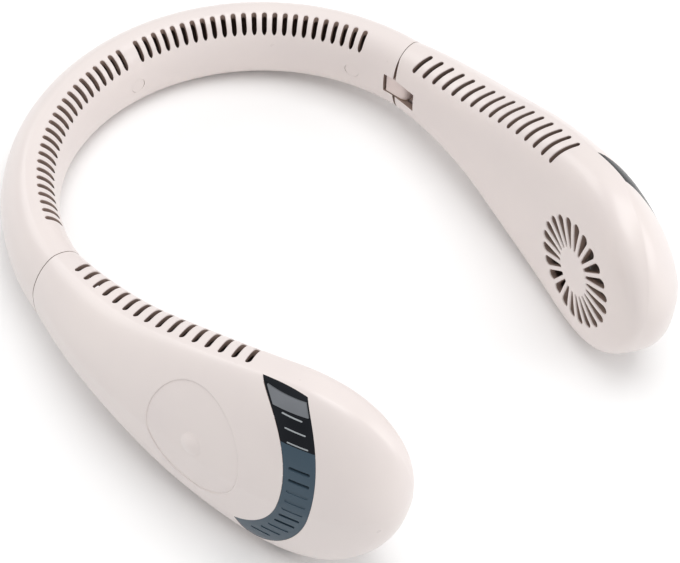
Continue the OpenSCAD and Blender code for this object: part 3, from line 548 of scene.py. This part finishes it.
# The part tips until the band and the undersides of both pods rest on the floor. An arm's lowest point lies between
# these places.
under = np.arange(60, ARM_LEN - 19, 2.0)
_, _, under_mid, under_half, _ = arm_section(under)
TILT = float(np.max(np.arctan2(under_half - under_mid - BAND_W, arm_line(under)[1])))
LIFT = BAND_W * math.cos(TILT) - FOOT_FLAT
STAND = np.array(Matrix.Rotation(TILT, 3, "X"))


def stood(points, side):
    """Points of the neck plane, on the floor and on their side."""
    return (points * [side, 1, 1]) @ STAND.T + [0, 0, LIFT]


def fit_to_part():
    """A scale and shift for each axis, by which the smooth skins, a hair outside the part's flats, fill its box."""
    skins = [band_outer, band_inner, arm_outer, arm_inner]
    both = np.vstack([stood(skin.points.reshape(-1, 3), side) for skin in skins for side in (1, -1)])
    low, high = both.min(0), both.max(0)
    low[2] = 0
    part_low = np.array(cad_box[0]) * 1000 + [BOX_MARGIN, BOX_MARGIN, 0]
    part_high = np.array(cad_box[1]) * 1000 - BOX_MARGIN
    scale = (part_high - part_low) / (high - low)
    return scale, part_low - low * scale


def shade_by_skins(mesh, co, skins, side, cut_flat):
    """Gives each corner that lies on a skin the skin's own normal, where its face looks the same way."""
    loops = np.empty(len(mesh.loops), np.int32)
    mesh.loops.foreach_get("vertex_index", loops)
    shade = np.empty(len(mesh.loops) * 3, np.float32)
    mesh.corner_normals.foreach_get("vector", shade)
    shade = shade.reshape(-1, 3).astype(float)
    facing = np.empty(len(mesh.polygons) * 3, np.float32)
    mesh.polygons.foreach_get("normal", facing)
    corners = np.empty(len(mesh.polygons), np.int32)
    mesh.polygons.foreach_get("loop_total", corners)
    facing = np.repeat(facing.reshape(-1, 3).astype(float), corners, 0)
    for skin in skins:
        normal, on = skin.normal_at(co)
        normal = (normal * [side, 1, 1]) @ STAND.T
        taken = on[loops] & ~cut_flat[loops] & ((facing * normal[loops]).sum(1) > FACING)
        shade[taken] = normal[loops][taken]
    mesh.normals_split_custom_set(shade.tolist())


def piece(name, mesh, material, body, replaces, skins, side=1, inside=None):
    """A finished piece: on its feet, on its side, shaded by its skins and riding on its body. Faces that are far from
    every skin, the slot walls and the shell's inside, get the inside material as painted shade, if one is named."""
    mesh = mesh.copy()
    mesh.name = name
    co = coordinates(mesh)
    placed = stood(co, side) * FIT[0] + FIT[1]
    cut_flat = placed[:, 2] < 0
    placed[:, 2] = np.maximum(placed[:, 2], 0)
    mesh.vertices.foreach_set("co", (placed * 0.001).astype(np.float32).ravel())
    if side < 0:
        mesh.flip_normals()
    mesh.update()
    mesh.polygons.foreach_set("use_smooth", np.ones(len(mesh.polygons), bool))
    mesh.set_sharp_from_angle(angle=math.radians(SHARP_ANGLE))
    shade_by_skins(mesh, co, skins, side, cut_flat)
    mesh.materials.clear()
    mesh.materials.append(material)
    # Painted shade: faces farther than SHOWN_WITHIN from every skin, deep in the slots and inside the shell, take the
    # darker inside material.
    deep = np.zeros(len(mesh.polygons), np.int32)
    if inside:
        mesh.materials.append(inside)
        middle = np.array([co[list(p.vertices)].mean(0) for p in mesh.polygons])
        deep[:] = [all(skin.tree.find_nearest(m, SHOWN_WITHIN)[0] is None for skin in skins) for m in middle]
    mesh.polygons.foreach_set("material_index", deep)
    made = bpy.data.objects.new(name, mesh)
    bpy.context.scene.collection.objects.link(made)
    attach(made, body)
    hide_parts(*replaces)


# ------------------------------------------------------------------ finishes

class Wire:
    """A value, colour or vector on its way through a finish's nodes."""

    def __init__(self, finish, socket):
        self.finish, self.socket = finish, socket

    def maths(self, operation, other):
        return self.finish.node("ShaderNodeMath", {"operation": operation}, {0: self, 1: other})

    def __add__(self, other):
        return self.maths("ADD", other)

    def __mul__(self, other):
        return self.maths("MULTIPLY", other)

    __radd__, __rmul__ = __add__, __mul__


class Finish:
    """A material and its nodes."""

    def __init__(self, name, **fixed):
        self.material = bpy.data.materials.new(name)
        self.material.use_nodes = True
        self.tree = self.material.node_tree
        self.tree.nodes.clear()
        out = self.tree.nodes.new("ShaderNodeOutputMaterial")
        self.shader = self.tree.nodes.new("ShaderNodeBsdfPrincipled")
        self.tree.links.new(self.shader.outputs[0], out.inputs[0])
        for socket, value in fixed.items():
            self.shader.inputs[socket.replace("_", " ").title().replace("Ior", "IOR")].default_value = value
        self.place = self.node("ShaderNodeTexCoord", output="Object")

    def node(self, kind, settings=None, inputs=None, output=0):
        node = self.tree.nodes.new(kind)
        for name, value in (settings or {}).items():
            if name == "stops":
                ramp = node.color_ramp
                while len(ramp.elements) < len(value):
                    ramp.elements.new(0.5)
                for element, (at, colour) in zip(ramp.elements, value):
                    element.position, element.color = at, colour
            else:
                setattr(node, name, value)
        for name, value in (inputs or {}).items():
            if isinstance(value, Wire):
                self.tree.links.new(value.socket, node.inputs[name])
            else:
                node.inputs[name].default_value = value
        return Wire(self, node.outputs[output])

    def noise(self, scale, detail=2.0, stretch=None):
        place = self.place
        if stretch:
            place = self.node("ShaderNodeVectorMath", {"operation": "MULTIPLY"}, {0: place, 1: stretch})
        return self.node("ShaderNodeTexNoise", inputs={"Vector": place, "Scale": scale, "Detail": detail})

    def ranged(self, value, low, high):
        """The value's share of the way from low to high, 0 to 1."""
        return self.node("ShaderNodeMapRange", {"clamp": True}, {"Value": value, "From Min": low, "From Max": high})

    def mixed(self, share, a, b):
        return self.node("ShaderNodeMix", {"data_type": "RGBA"}, {0: share, 6: a, 7: b}, 2)

    def give(self, socket, wire):
        self.tree.links.new(wire.socket, self.shader.inputs[socket])

    def bump(self, height, distance, strength=1.0):
        self.give("Normal", self.node("ShaderNodeBump", inputs={
            "Height": height, "Distance": distance, "Strength": strength}))


# How fine each mark is, in repeats per metre
MELT_FLOW, MOULD_SHEEN, SPARK_GRAIN, SPARK_PITS = 38, 160, 2600, 700
WIPING_MARKS, GLOSS_TINT, GLOSS_RIPPLE = 240, 60, 120
TOOL_MARKS, METAL_SHEEN = 900, 300


def colour(r, g, b):
    """A colour as the eye reads it, 0 to 255, as light values."""
    return tuple((v / 255 / 12.92) if v <= 10 else ((v / 255 + 0.055) / 1.055) ** 2.4 for v in (r, g, b)) + (1.0,)


def moulded(name, tint, other, rough, grain=0.000008, **fixed):
    """Moulded plastic: a fine spark-eroded grain, slow changes of tint from the flow of the melt, uneven sheen."""
    f = Finish(name, **fixed)
    spread = 0.06
    flow = f.ranged(f.noise(MELT_FLOW, 3), 0.3, 0.7)
    f.give("Base Color", f.mixed(flow, tint, other))
    f.give("Roughness", f.noise(MOULD_SHEEN, 3) * spread + (rough - spread / 2))
    f.bump(f.noise(SPARK_GRAIN, 2) + f.noise(SPARK_PITS, 1) * 0.6, grain)
    return f.material


def polished(name, tint, other, rough, **fixed):
    """Gloss moulding: nearly clean, with faint wiping marks and a slow ripple."""
    f = Finish(name, **fixed)
    wiped = f.ranged(f.noise(WIPING_MARKS, 4, (1.0, 5.0, 1.0)), 0.45, 0.75)
    f.give("Base Color", f.mixed(f.ranged(f.noise(GLOSS_TINT), 0.35, 0.65), tint, other))
    f.give("Roughness", wiped * 0.07 + rough)
    f.bump(f.noise(GLOSS_RIPPLE, 1), 0.00001, 0.6)
    return f.material


def metal(name, tint, other, rough=0.3, stretch=(1.0, 1.0, 9.0), **fixed):
    """Turned or brushed metal, with fine tool marks."""
    f = Finish(name, metallic=1.0, **fixed)
    spread = 0.16
    marks = f.noise(TOOL_MARKS, 3, stretch)
    f.give("Base Color", f.mixed(f.ranged(marks, 0.35, 0.65), tint, other))
    f.give("Roughness", f.noise(METAL_SHEEN, 2) * spread + (rough - spread / 2))
    f.bump(marks, 0.000006)
    return f.material


pearl_plastic = moulded("pearl_plastic", colour(231, 221, 218), colour(234, 224, 220), 0.29, specular_ior_level=0.5)
hinge_plastic = moulded("hinge_plastic", colour(230, 214, 209), colour(223, 207, 202), 0.44)
# Painted shade: the pearl plastic darkened to brown-grey for the slot walls and the shell's inside, where shade falls.
# The real walls are the same pearl plastic.
painted_shade_wall = moulded("painted_shade_wall", colour(160, 139, 129), colour(146, 126, 116), 0.6)
gloss_black = polished("gloss_black", colour(30, 32, 36), colour(37, 39, 43), 0.24, specular_ior_level=0.06)
slate_plastic = moulded("slate_plastic", colour(62, 80, 93), colour(70, 87, 100), 0.34, 0.000006,
                        specular_ior_level=0.24)
key_grey = polished("key_grey", colour(112, 115, 120), colour(124, 127, 132), 0.2)
light_diffuser = moulded("light_diffuser", colour(146, 151, 154), colour(164, 168, 171), 0.3, emission_strength=0.05,
                         emission_color=colour(235, 240, 242))
fan_plastic = moulded("fan_plastic", colour(176, 162, 153), colour(164, 150, 142), 0.5)
steel = metal("turned_steel", colour(196, 196, 200), colour(170, 171, 176))
brass = metal("washer_brass", colour(200, 172, 110), colour(182, 150, 90))
copper = metal("wound_copper", colour(196, 128, 88), colour(150, 88, 58), 0.36, (9.0, 1.0, 1.0))
foil = metal("cell_foil", colour(188, 192, 198), colour(165, 170, 178), 0.42, (1.0, 1.0, 1.0))
board_green = polished("board_green", colour(28, 92, 56), colour(22, 78, 47), 0.3)
wire_sleeve = moulded("wire_sleeve", colour(32, 32, 33), colour(44, 43, 43), 0.55)

# ------------------------------------------------------------------ skins

band_outer, band_inner = band_skin(1), band_skin(-1)
arm_outer, arm_inner = arm_skin(1), arm_skin(-1)
arm_crown = Skin(arm_section, arm_line, arm_places(SEAM_GAP / 2, DUCT_BACK, 1.15), 0, 180, 120)
FIT = fit_to_part()

# ------------------------------------------------------------------ band

def across_band(angle, radius, low, high):
    """A round tool across the band at a screw, from low to high outward."""
    return prism(on_band(angle, 0, PLUG_W) @ turned("Y", 90), circle(radius, 40), low, high)


def make_band():
    posts = [across_band(a, POST_R, HEAD_FLOOR + CLAMP_T + POST_GAP, BAND_A - WALL + POST_ROOT) for a in PLUG_ANGLES]
    outer = shaped(shaped(band_outer.solid(), [band_bore()]), posts, "UNION")
    piece("band_outer_skin", outer, pearl_plastic, "band", ["band_outer_shell"],
          [band_outer], inside=painted_shade_wall)

    bosses = [across_band(a, BOSS_R, -BAND_A + 1, HEAD_FLOOR + CLAMP_T) for a in PLUG_ANGLES]
    inner = shaped(shaped(band_inner.solid(), [band_bore()]), bosses, "UNION")
    slots = []
    for side in (-1, 1):
        for i in range(1, BAND_SLOTS + 1):
            place = on_band(side * math.degrees(i * BAND_SLOT_PITCH / BAND_R), BAND_SLOT_U, 0)
            slots.append(slot_from_above(place, BAND_SLOT_LEN, SLOT_W, BAND_SLOT_FLOOR))
    tools = [gathered(slots)]
    for a in PLUG_ANGLES:
        seat = across_band(a, PLUG_R + SEAT, -BAND_A - TOOL_PAST, PLUG_FLOOR)
        head = across_band(a, HEAD_R + SEAT, PLUG_FLOOR - OVERLAP, HEAD_FLOOR)
        hole = across_band(a, SCREW_R + SEAT, PLUG_FLOOR - OVERLAP, PLUG_FLOOR + SCREW_HOLE)
        tools.append(shaped(seat, [head, hole], "UNION"))
    opening = rectangle(-BAND_A - TOOL_PAST, NOTCH_BACK, PIN_U + EYE_R + WINDOW_PLAY, NOTCH_FRONT)
    tools.append(prism(on_arm(0), opening, -WINDOW_H / 2, WINDOW_H / 2))
    tools.append(mirrored_mesh(prism(on_arm(0), opening, -WINDOW_H / 2, WINDOW_H / 2)))
    inner = shaped(inner, tools)
    piece("band_inner_skin", inner, pearl_plastic, "band", ["band_inner_shell"],
          [band_inner], inside=painted_shade_wall)


make_band()

# ------------------------------------------------------------------ arm shells

def arm_slot(i):
    """The cutter for an arm's air slot, square to the skin."""
    k = i / (ARM_SLOTS - 1)
    x, u = ARM_SLOT_FIRST + i * ARM_SLOT_PITCH, -(ARM_SLOT_U + ARM_SLOT_DRIFT * k)
    height, slope = crown(x, u)
    place = on_arm(x, height) @ moved(u, 0, 0) @ turned("Y", -slope) @ turned("Z", ARM_SLOT_SLANT * (1 - k / 2))
    length = ARM_SLOT_LEN + ARM_SLOT_GAIN * k
    return pocket(place, lambda grow: bar(length + 2 * grow, SLOT_W + 2 * grow), arm_crown, ARM_SLOT_DEPTH)


def grille_outline(angle, grow):
    """A slot of the intake: narrow and round at the hub, wide and round at the rim."""
    a0, a1 = np.radians(np.linspace(90, 270, 9)), np.radians(np.linspace(-90, 90, 13))
    r0, r1 = GRILLE_IN / 2 + grow, GRILLE_OUT / 2 + grow
    inner = np.column_stack([GRILLE_HUB_R + GRILLE_IN / 2 + r0 * np.cos(a0), r0 * np.sin(a0)])
    outer = np.column_stack([GRILLE_R - GRILLE_OUT / 2 + r1 * np.cos(a1), r1 * np.sin(a1)])
    c, s = math.cos(angle), math.sin(angle)
    return closed_by_sides([outer, inner]) @ np.array([[c, s], [-s, c]])


def fold_relief():
    """The wedge at the seam, inward of the pin, that an arm leaves free to fold inward."""
    reach = BAND_A + RELIEF_PAST + PIN_U
    wide = reach * math.tan(math.radians(FOLD_MAX + FOLD_MARGIN))
    outline = [[PIN_U, RELIEF_BACK], [PIN_U, SEAM_GAP / 2], [PIN_U - reach, SEAM_GAP / 2 + wide],
               [PIN_U - reach, RELIEF_BACK]]
    return prism(on_arm(0), outline, -RELIEF_H, RELIEF_H)


def make_inner_shell():
    """The inner shell with its air slots, intake grille and the openings for the hinge."""
    shell = shaped(arm_inner.solid(), [arm_core(WALL)])
    shell = shaped(shell, [gathered([arm_slot(i) for i in range(ARM_SLOTS)])])
    inward = on_fan() @ turned("X", 180)
    grille = [pocket(inward, lambda grow, a=2 * math.pi * i / GRILLE_SLOTS: grille_outline(a, grow), arm_inner,
                     GRILLE_DEPTH, GRILLE_LIP) for i in range(GRILLE_SLOTS)]
    shell = shaped(shell, [gathered(grille)])
    hinge, pocket_back, pocket_top = on_arm(0), PLATE_FRONT - SEAT, WINDOW_H / 2 + POCKET_T + SEAT
    window = rectangle(-BAND_A - 8, -1, PIN_U + EYE_R + WINDOW_PLAY, WINDOW_LEN)
    plate_pocket = rectangle(PIN_U - POCKET_IN, pocket_back, PIN_U + POCKET_OUT, pocket_back + WINDOW_LEN)
    eye = circle(PIN_R + EYE_WALL + EYE_PLAY, 32)
    return shaped(shell, [
        fold_relief(),
        prism(hinge, window, -WINDOW_H / 2, WINDOW_H / 2),
        prism(hinge, plate_pocket, -pocket_top, pocket_top),
        prism(hinge @ moved(PIN_U, PIN_Y, 0), eye, -EYE_TOP - SEAT, EYE_TOP + SEAT)])


def strip_outline(grow=0.0):
    """The trim strip's face, as part of a ring round its centre."""
    a = np.radians(np.linspace(-STRIP_END - (STRIP_END_PLAY if grow else 0), STRIP_START, 96))
    arc = np.column_stack([np.cos(a), np.sin(a)])
    return np.vstack([(STRIP_IN_R - grow) * arc, (STRIP_OUT_R + grow) * arc[::-1]])


def cut_above(outline, height):
    """The part of a face outline over a height, by one straight cut."""
    kept = []
    for p, q in zip(outline, np.roll(outline, -1, axis=0)):
        if p[1] >= height:
            kept.append(p)
        if (p[1] >= height) != (q[1] >= height):
            t = (height - p[1]) / (q[1] - p[1])
            kept.append(p + t * (q - p))
    return np.array(kept)


def key_outline(grow=0.0):
    """The key's face: a slightly sloping band across the strip."""
    slope = math.radians(KEY_SLOPE)
    up, across = np.array([-math.sin(slope), math.cos(slope)]), np.array([math.cos(slope), math.sin(slope)])
    low = np.array([KEY_FROM, KEY_LOW - STRIP_CENTRE[1] - grow])
    high = low + up * (KEY_W + 2 * grow)
    r0, r1 = STRIP_IN_R + KEY_MARGIN - grow, STRIP_OUT_R - KEY_MARGIN + grow

    def reach(base, radius):
        b = float(base @ across)
        return base + across * (-b + math.sqrt(b * b - float(base @ base) + radius * radius))
    right = [reach(low + (high - low) * t, r1) for t in np.linspace(0, 1, 7)]
    left = [reach(low + (high - low) * t, r0) for t in np.linspace(1, 0, 7)]
    return np.array(right + left)


def key_hole():
    """The hole for the key, through the window and the cover behind it."""
    return prism(on_face(STRIP_CENTRE, KEY_HOLE_FROM), key_outline(KEY_GAP), 0, TOOL_REACH)


def level_place(height):
    """The middle of the strip's width at a height."""
    v = height - STRIP_CENTRE[1]
    return on_face((STRIP_CENTRE[0] + math.sqrt(MID_R**2 - v * v), STRIP_CENTRE[1] + v))


def vents(are_open):
    """Tools for the vents that go through into the duct, or for the blind ones."""
    return [prism(level_place(VENT_TOP - i * VENT_PITCH), bar(VENT_LEN, VENT_W), 0, TOOL_REACH)
            for i in range(VENTS) if (i in OPEN_VENTS) == are_open]


def light_bar_tools(width):
    """The three light bars, two low in the window and one under the key."""
    heights = [BAR_LOW, BAR_LOW + BAR_PITCH, KEY_LOW - KEY_GAP - TOP_BAR_DROP]
    return [prism(level_place(h), bar(VENT_LEN, width), 0, TOOL_REACH) for h in heights]


strip_place = on_face(STRIP_CENTRE)
dish_place = on_face(DISH_CENTRE)


def socket_way():
    """The opening under the arm that leads to the charging socket."""
    place = on_fan(SOCKET_U) @ moved(SOCKET_Y, SOCKET_WAY_FROM, 0) @ turned("X", -90)
    return prism(place, bar(SOCKET_WAY_W, SOCKET_WAY_T, SOCKET_END_STEPS), 0, SOCKET_WAY_LEN)


def make_outer_cover(side):
    """The outer cover with its sunk seats for the strip and the dish cap, vents and screw holes."""
    cover = shaped(arm_outer.solid(), [arm_core(WALL)])
    sink = arm_core(DISH_SINK, SINK_FROM, SINK_TO, step=1.2, around=160)
    dish = pocket(dish_place, lambda grow: circle(DISH_R + SEAT + grow, DISH_STEPS), arm_outer, DISH_CUT, DISH_LIP,
                  DISH_LIP_FALL)
    dish = shaped(dish, [sink.copy()])
    strip = shaped(prism(strip_place, strip_outline(SEAT), 0, TOOL_REACH), [sink])
    cover = shaped(cover, [dish, strip])
    cover = shaped(cover, vents(True))
    holes = [prism(on_face(p), circle(SCREW_R + SEAT, 20), 0, TOOL_REACH) for p in COVER_SCREWS]
    heads = [prism(on_face(p), circle(HEAD_R + SEAT, 24), surface_u(p, DISH_SINK) - COVER_HEAD_FLOOR, TOOL_REACH)
             for p in COVER_SCREWS]
    cover = shaped(cover, holes + heads)
    return shaped(cover, [key_hole(), socket_way()]) if side > 0 else cover


def face_plate(outline_tool, depth, thick, start, stop):
    """A plate of the outer face: a skin under the surface, crossed with its outline. Also gives the skin."""
    past_ends = 4
    skin = arm_skin(1, depth, start, stop, step=0.8, around=130)
    back = arm_skin(1, depth + thick, start - past_ends, stop + past_ends, step=1.2, around=110)
    plate = shaped(skin.solid(), [back.solid()])
    return shaped(plate, [outline_tool], "INTERSECT"), skin


def strip_plate(outline_tool, thick=STRIP_T):
    """A plate of the trim strip, a hair under the arm's surface."""
    return face_plate(outline_tool, STRIP_SINK, thick, STRIP_FROM, STRIP_TO)


def make_dish_cap():
    """The dish cap with the small dome in its middle, square to the cap's surface."""
    outline_tool = prism(dish_place, circle(DISH_R + SEAT - CAP_GAP, DISH_STEPS), 0, TOOL_REACH)
    middle = FACE_AT + DISH_CENTRE[0]
    cap, skin = face_plate(outline_tool, DISH_DEPTH, CAP_T, middle - DISH_R - CAP_PAST, middle + DISH_R + CAP_PAST)
    base = surface_u(DISH_CENTRE, DISH_DEPTH)
    profile = [(DOME_FOOT, -DOME_ROOT)] + [(DOME_FOOT * q, DOME_H * (1 - q * q) ** DOME_CURVE) for q in DOME_RINGS]
    slope = [(surface_u((DISH_CENTRE[0] + x, DISH_CENTRE[1] + y), DISH_DEPTH) - base) for x, y in ((1, 0), (0, 1))]
    lean = Vector((0, 0, 1)).rotation_difference(Vector((-slope[0], -slope[1], 1))).to_matrix().to_4x4()
    place = on_face(DISH_CENTRE, base) @ lean
    rings = [seen_from(place, np.column_stack([circle(r, 40), np.full(40, z)])) for r, z in profile]
    return shaped(cap, [loft(rings)], "UNION"), skin


def make_arms():
    inner = make_inner_shell()
    cap, cap_skin = make_dish_cap()
    upper = cut_above(strip_outline(), WINDOW_LOW + SEAT - STRIP_CENTRE[1])
    lower = -cut_above(-strip_outline(), -(WINDOW_LOW - STRIP_CENTRE[1]))
    window, window_skin = strip_plate(prism(strip_place, upper, 0, TOOL_REACH))
    strip, strip_skin = strip_plate(prism(strip_place, lower, 0, TOOL_REACH))
    strip = shaped(strip, vents(True))
    blind = arm_core(VENT_GROOVE, STRIP_FROM, STRIP_TO, step=1.2, around=160)
    strip = shaped(strip, [shaped(gathered(vents(False)), [blind])])
    for side, hand in ((1, "right"), (-1, "left")):
        arm = hand + "_arm"
        cover = make_outer_cover(side)
        piece(hand + "_arm_inner_skin", inner, pearl_plastic, arm, [hand + "_inner_shell"],
              [arm_inner], side, painted_shade_wall)
        piece(hand + "_arm_outer_skin", cover, pearl_plastic, arm, [hand + "_outer_cover"],
              [arm_outer], side, painted_shade_wall)
        piece(hand + "_dish", cap, pearl_plastic, arm, [hand + "_dish_cap"], [cap_skin], side)
        shown = window.copy()
        if side > 0:
            shown = shaped(shown, [key_hole()] + light_bar_tools(BAR_W + BAR_PLAY))
        piece(hand + "_gloss_window", shown, gloss_black, arm, [hand + "_display_window"],
              [window_skin], side)
        piece(hand + "_slate_strip", strip, slate_plastic, arm, [hand + "_vented_strip"],
              [strip_skin], side)
    lights, lights_skin = strip_plate(gathered(light_bar_tools(BAR_W)))
    piece("light_lenses", lights, light_diffuser, "right_arm", ["light_bars"], [lights_skin])
    key, key_skin = strip_plate(prism(strip_place, key_outline(), 0, TOOL_REACH), STRIP_T + KEY_ROOT)
    stem_top = surface_u(SWITCH_AT, STRIP_T)
    stem_foot = stem_top - SWITCH_H + KEY_TRAVEL + SEAT
    key = shaped(key, [prism(on_face(SWITCH_AT), circle(STEM_R, 24), stem_foot, stem_top)], "UNION")
    piece("power_key_cap", key, key_grey, "power_key_body", ["power_key"], [key_skin])


make_arms()

# ------------------------------------------------------------------ finishes of the pieces that keep the part's shape

INSIDE = {"band_plugs": pearl_plastic, "band_screws": steel, "band_wire_loom": wire_sleeve, "hinge_washers": brass,
          "band_hinge": hinge_plastic, "arm_hinge": hinge_plastic, "hinge_pin": steel, "volute": fan_plastic,
          "motor_stator": copper, "motor_bearings": steel, "impeller": fan_plastic, "rotor_ring": steel,
          "motor_shaft": steel, "cover_screws": steel, "cell": foil, "key_switch": wire_sleeve,
          "main_board": board_green, "charging_socket": steel}
for name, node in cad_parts.items():
    if node.hide_render:
        continue
    kind = name.removeprefix("right_").removeprefix("left_")
    node.data.materials.clear()
    node.data.materials.append(INSIDE[kind])

# ------------------------------------------------------------------ floor, light and camera, in metres

FLOOR_REACH, FLOOR_DROP, SKY_STRENGTH = 6, 0.0002, 0.5
SOFTBOXES = (  # name, place, aim, size, watts
    ("top_softbox", (-0.05, 0.2, 1.25), (0, 0.1, 0.03), (1.1, 0.8), 8.5),
    ("side_softbox", (-0.75, 0.85, 0.45), (0, 0.1, 0.03), (0.7, 0.7), 3.2),
    ("back_softbox", (0.2, -1.0, 0.7), (0, 0.0, 0.03), (0.9, 0.6), 3.4))
# Camera fitted to the photograph: its axes to the right and up, its place and its lens in millimetres
CAMERA_RIGHT, CAMERA_UP = (-0.7476, 0.6579, 0.0901), (-0.4869, -0.6353, 0.5995)
CAMERA_AT, CAMERA_LENS, SENSOR_W, NEAR_CLIP = (0.3147, 0.40365, 0.56784), 107.6, 36.0, 0.01


def studio():
    floor = Finish("studio_floor", specular_ior_level=0.2)
    shade = floor.ranged(floor.noise(3), 0.3, 0.7)
    floor.give("Base Color", floor.mixed(shade, (0.97, 0.97, 0.97, 1), (0.99, 0.99, 0.99, 1)))
    floor.give("Roughness", shade * 0.05 + 0.8)
    mesh = bpy.data.meshes.new("floor")
    mesh.from_pydata([(x * FLOOR_REACH, y * FLOOR_REACH, 0) for x, y in ((-1, -1), (1, -1), (1, 1), (-1, 1))], [],
                     [(0, 1, 2, 3)])
    mesh.materials.append(floor.material)
    sheet = bpy.data.objects.new("floor", mesh)
    sheet.location.z = -FLOOR_DROP
    bpy.context.scene.collection.objects.link(sheet)

    world = bpy.data.worlds.new("studio")
    world.use_nodes = True
    world.node_tree.nodes["Background"].inputs[0].default_value = (1, 1, 1, 1)
    world.node_tree.nodes["Background"].inputs[1].default_value = SKY_STRENGTH
    bpy.context.scene.world = world

    for name, at, aim, size, power in SOFTBOXES:
        lamp = bpy.data.lights.new(name, "AREA")
        lamp.shape, lamp.size, lamp.size_y, lamp.energy = "RECTANGLE", size[0], size[1], power
        box = bpy.data.objects.new(name, lamp)
        box.location = at
        box.rotation_euler = (Vector(aim) - Vector(at)).to_track_quat("-Z", "Y").to_euler()
        bpy.context.scene.collection.objects.link(box)
    bpy.context.scene.view_settings.view_transform = "Standard"


def camera():
    back = Vector(CAMERA_RIGHT).cross(Vector(CAMERA_UP)).normalized()
    right = Vector(CAMERA_RIGHT).normalized()
    up = back.cross(right).normalized()
    lens = bpy.data.cameras.new("camera")
    lens.lens, lens.sensor_width, lens.clip_start = CAMERA_LENS, SENSOR_W, NEAR_CLIP
    eye = bpy.data.objects.new("camera", lens)
    place = Matrix((right, up, back)).transposed().to_4x4()
    place.translation = CAMERA_AT
    eye.matrix_world = place
    bpy.context.scene.collection.objects.link(eye)
    bpy.context.scene.camera = eye


studio()
camera()
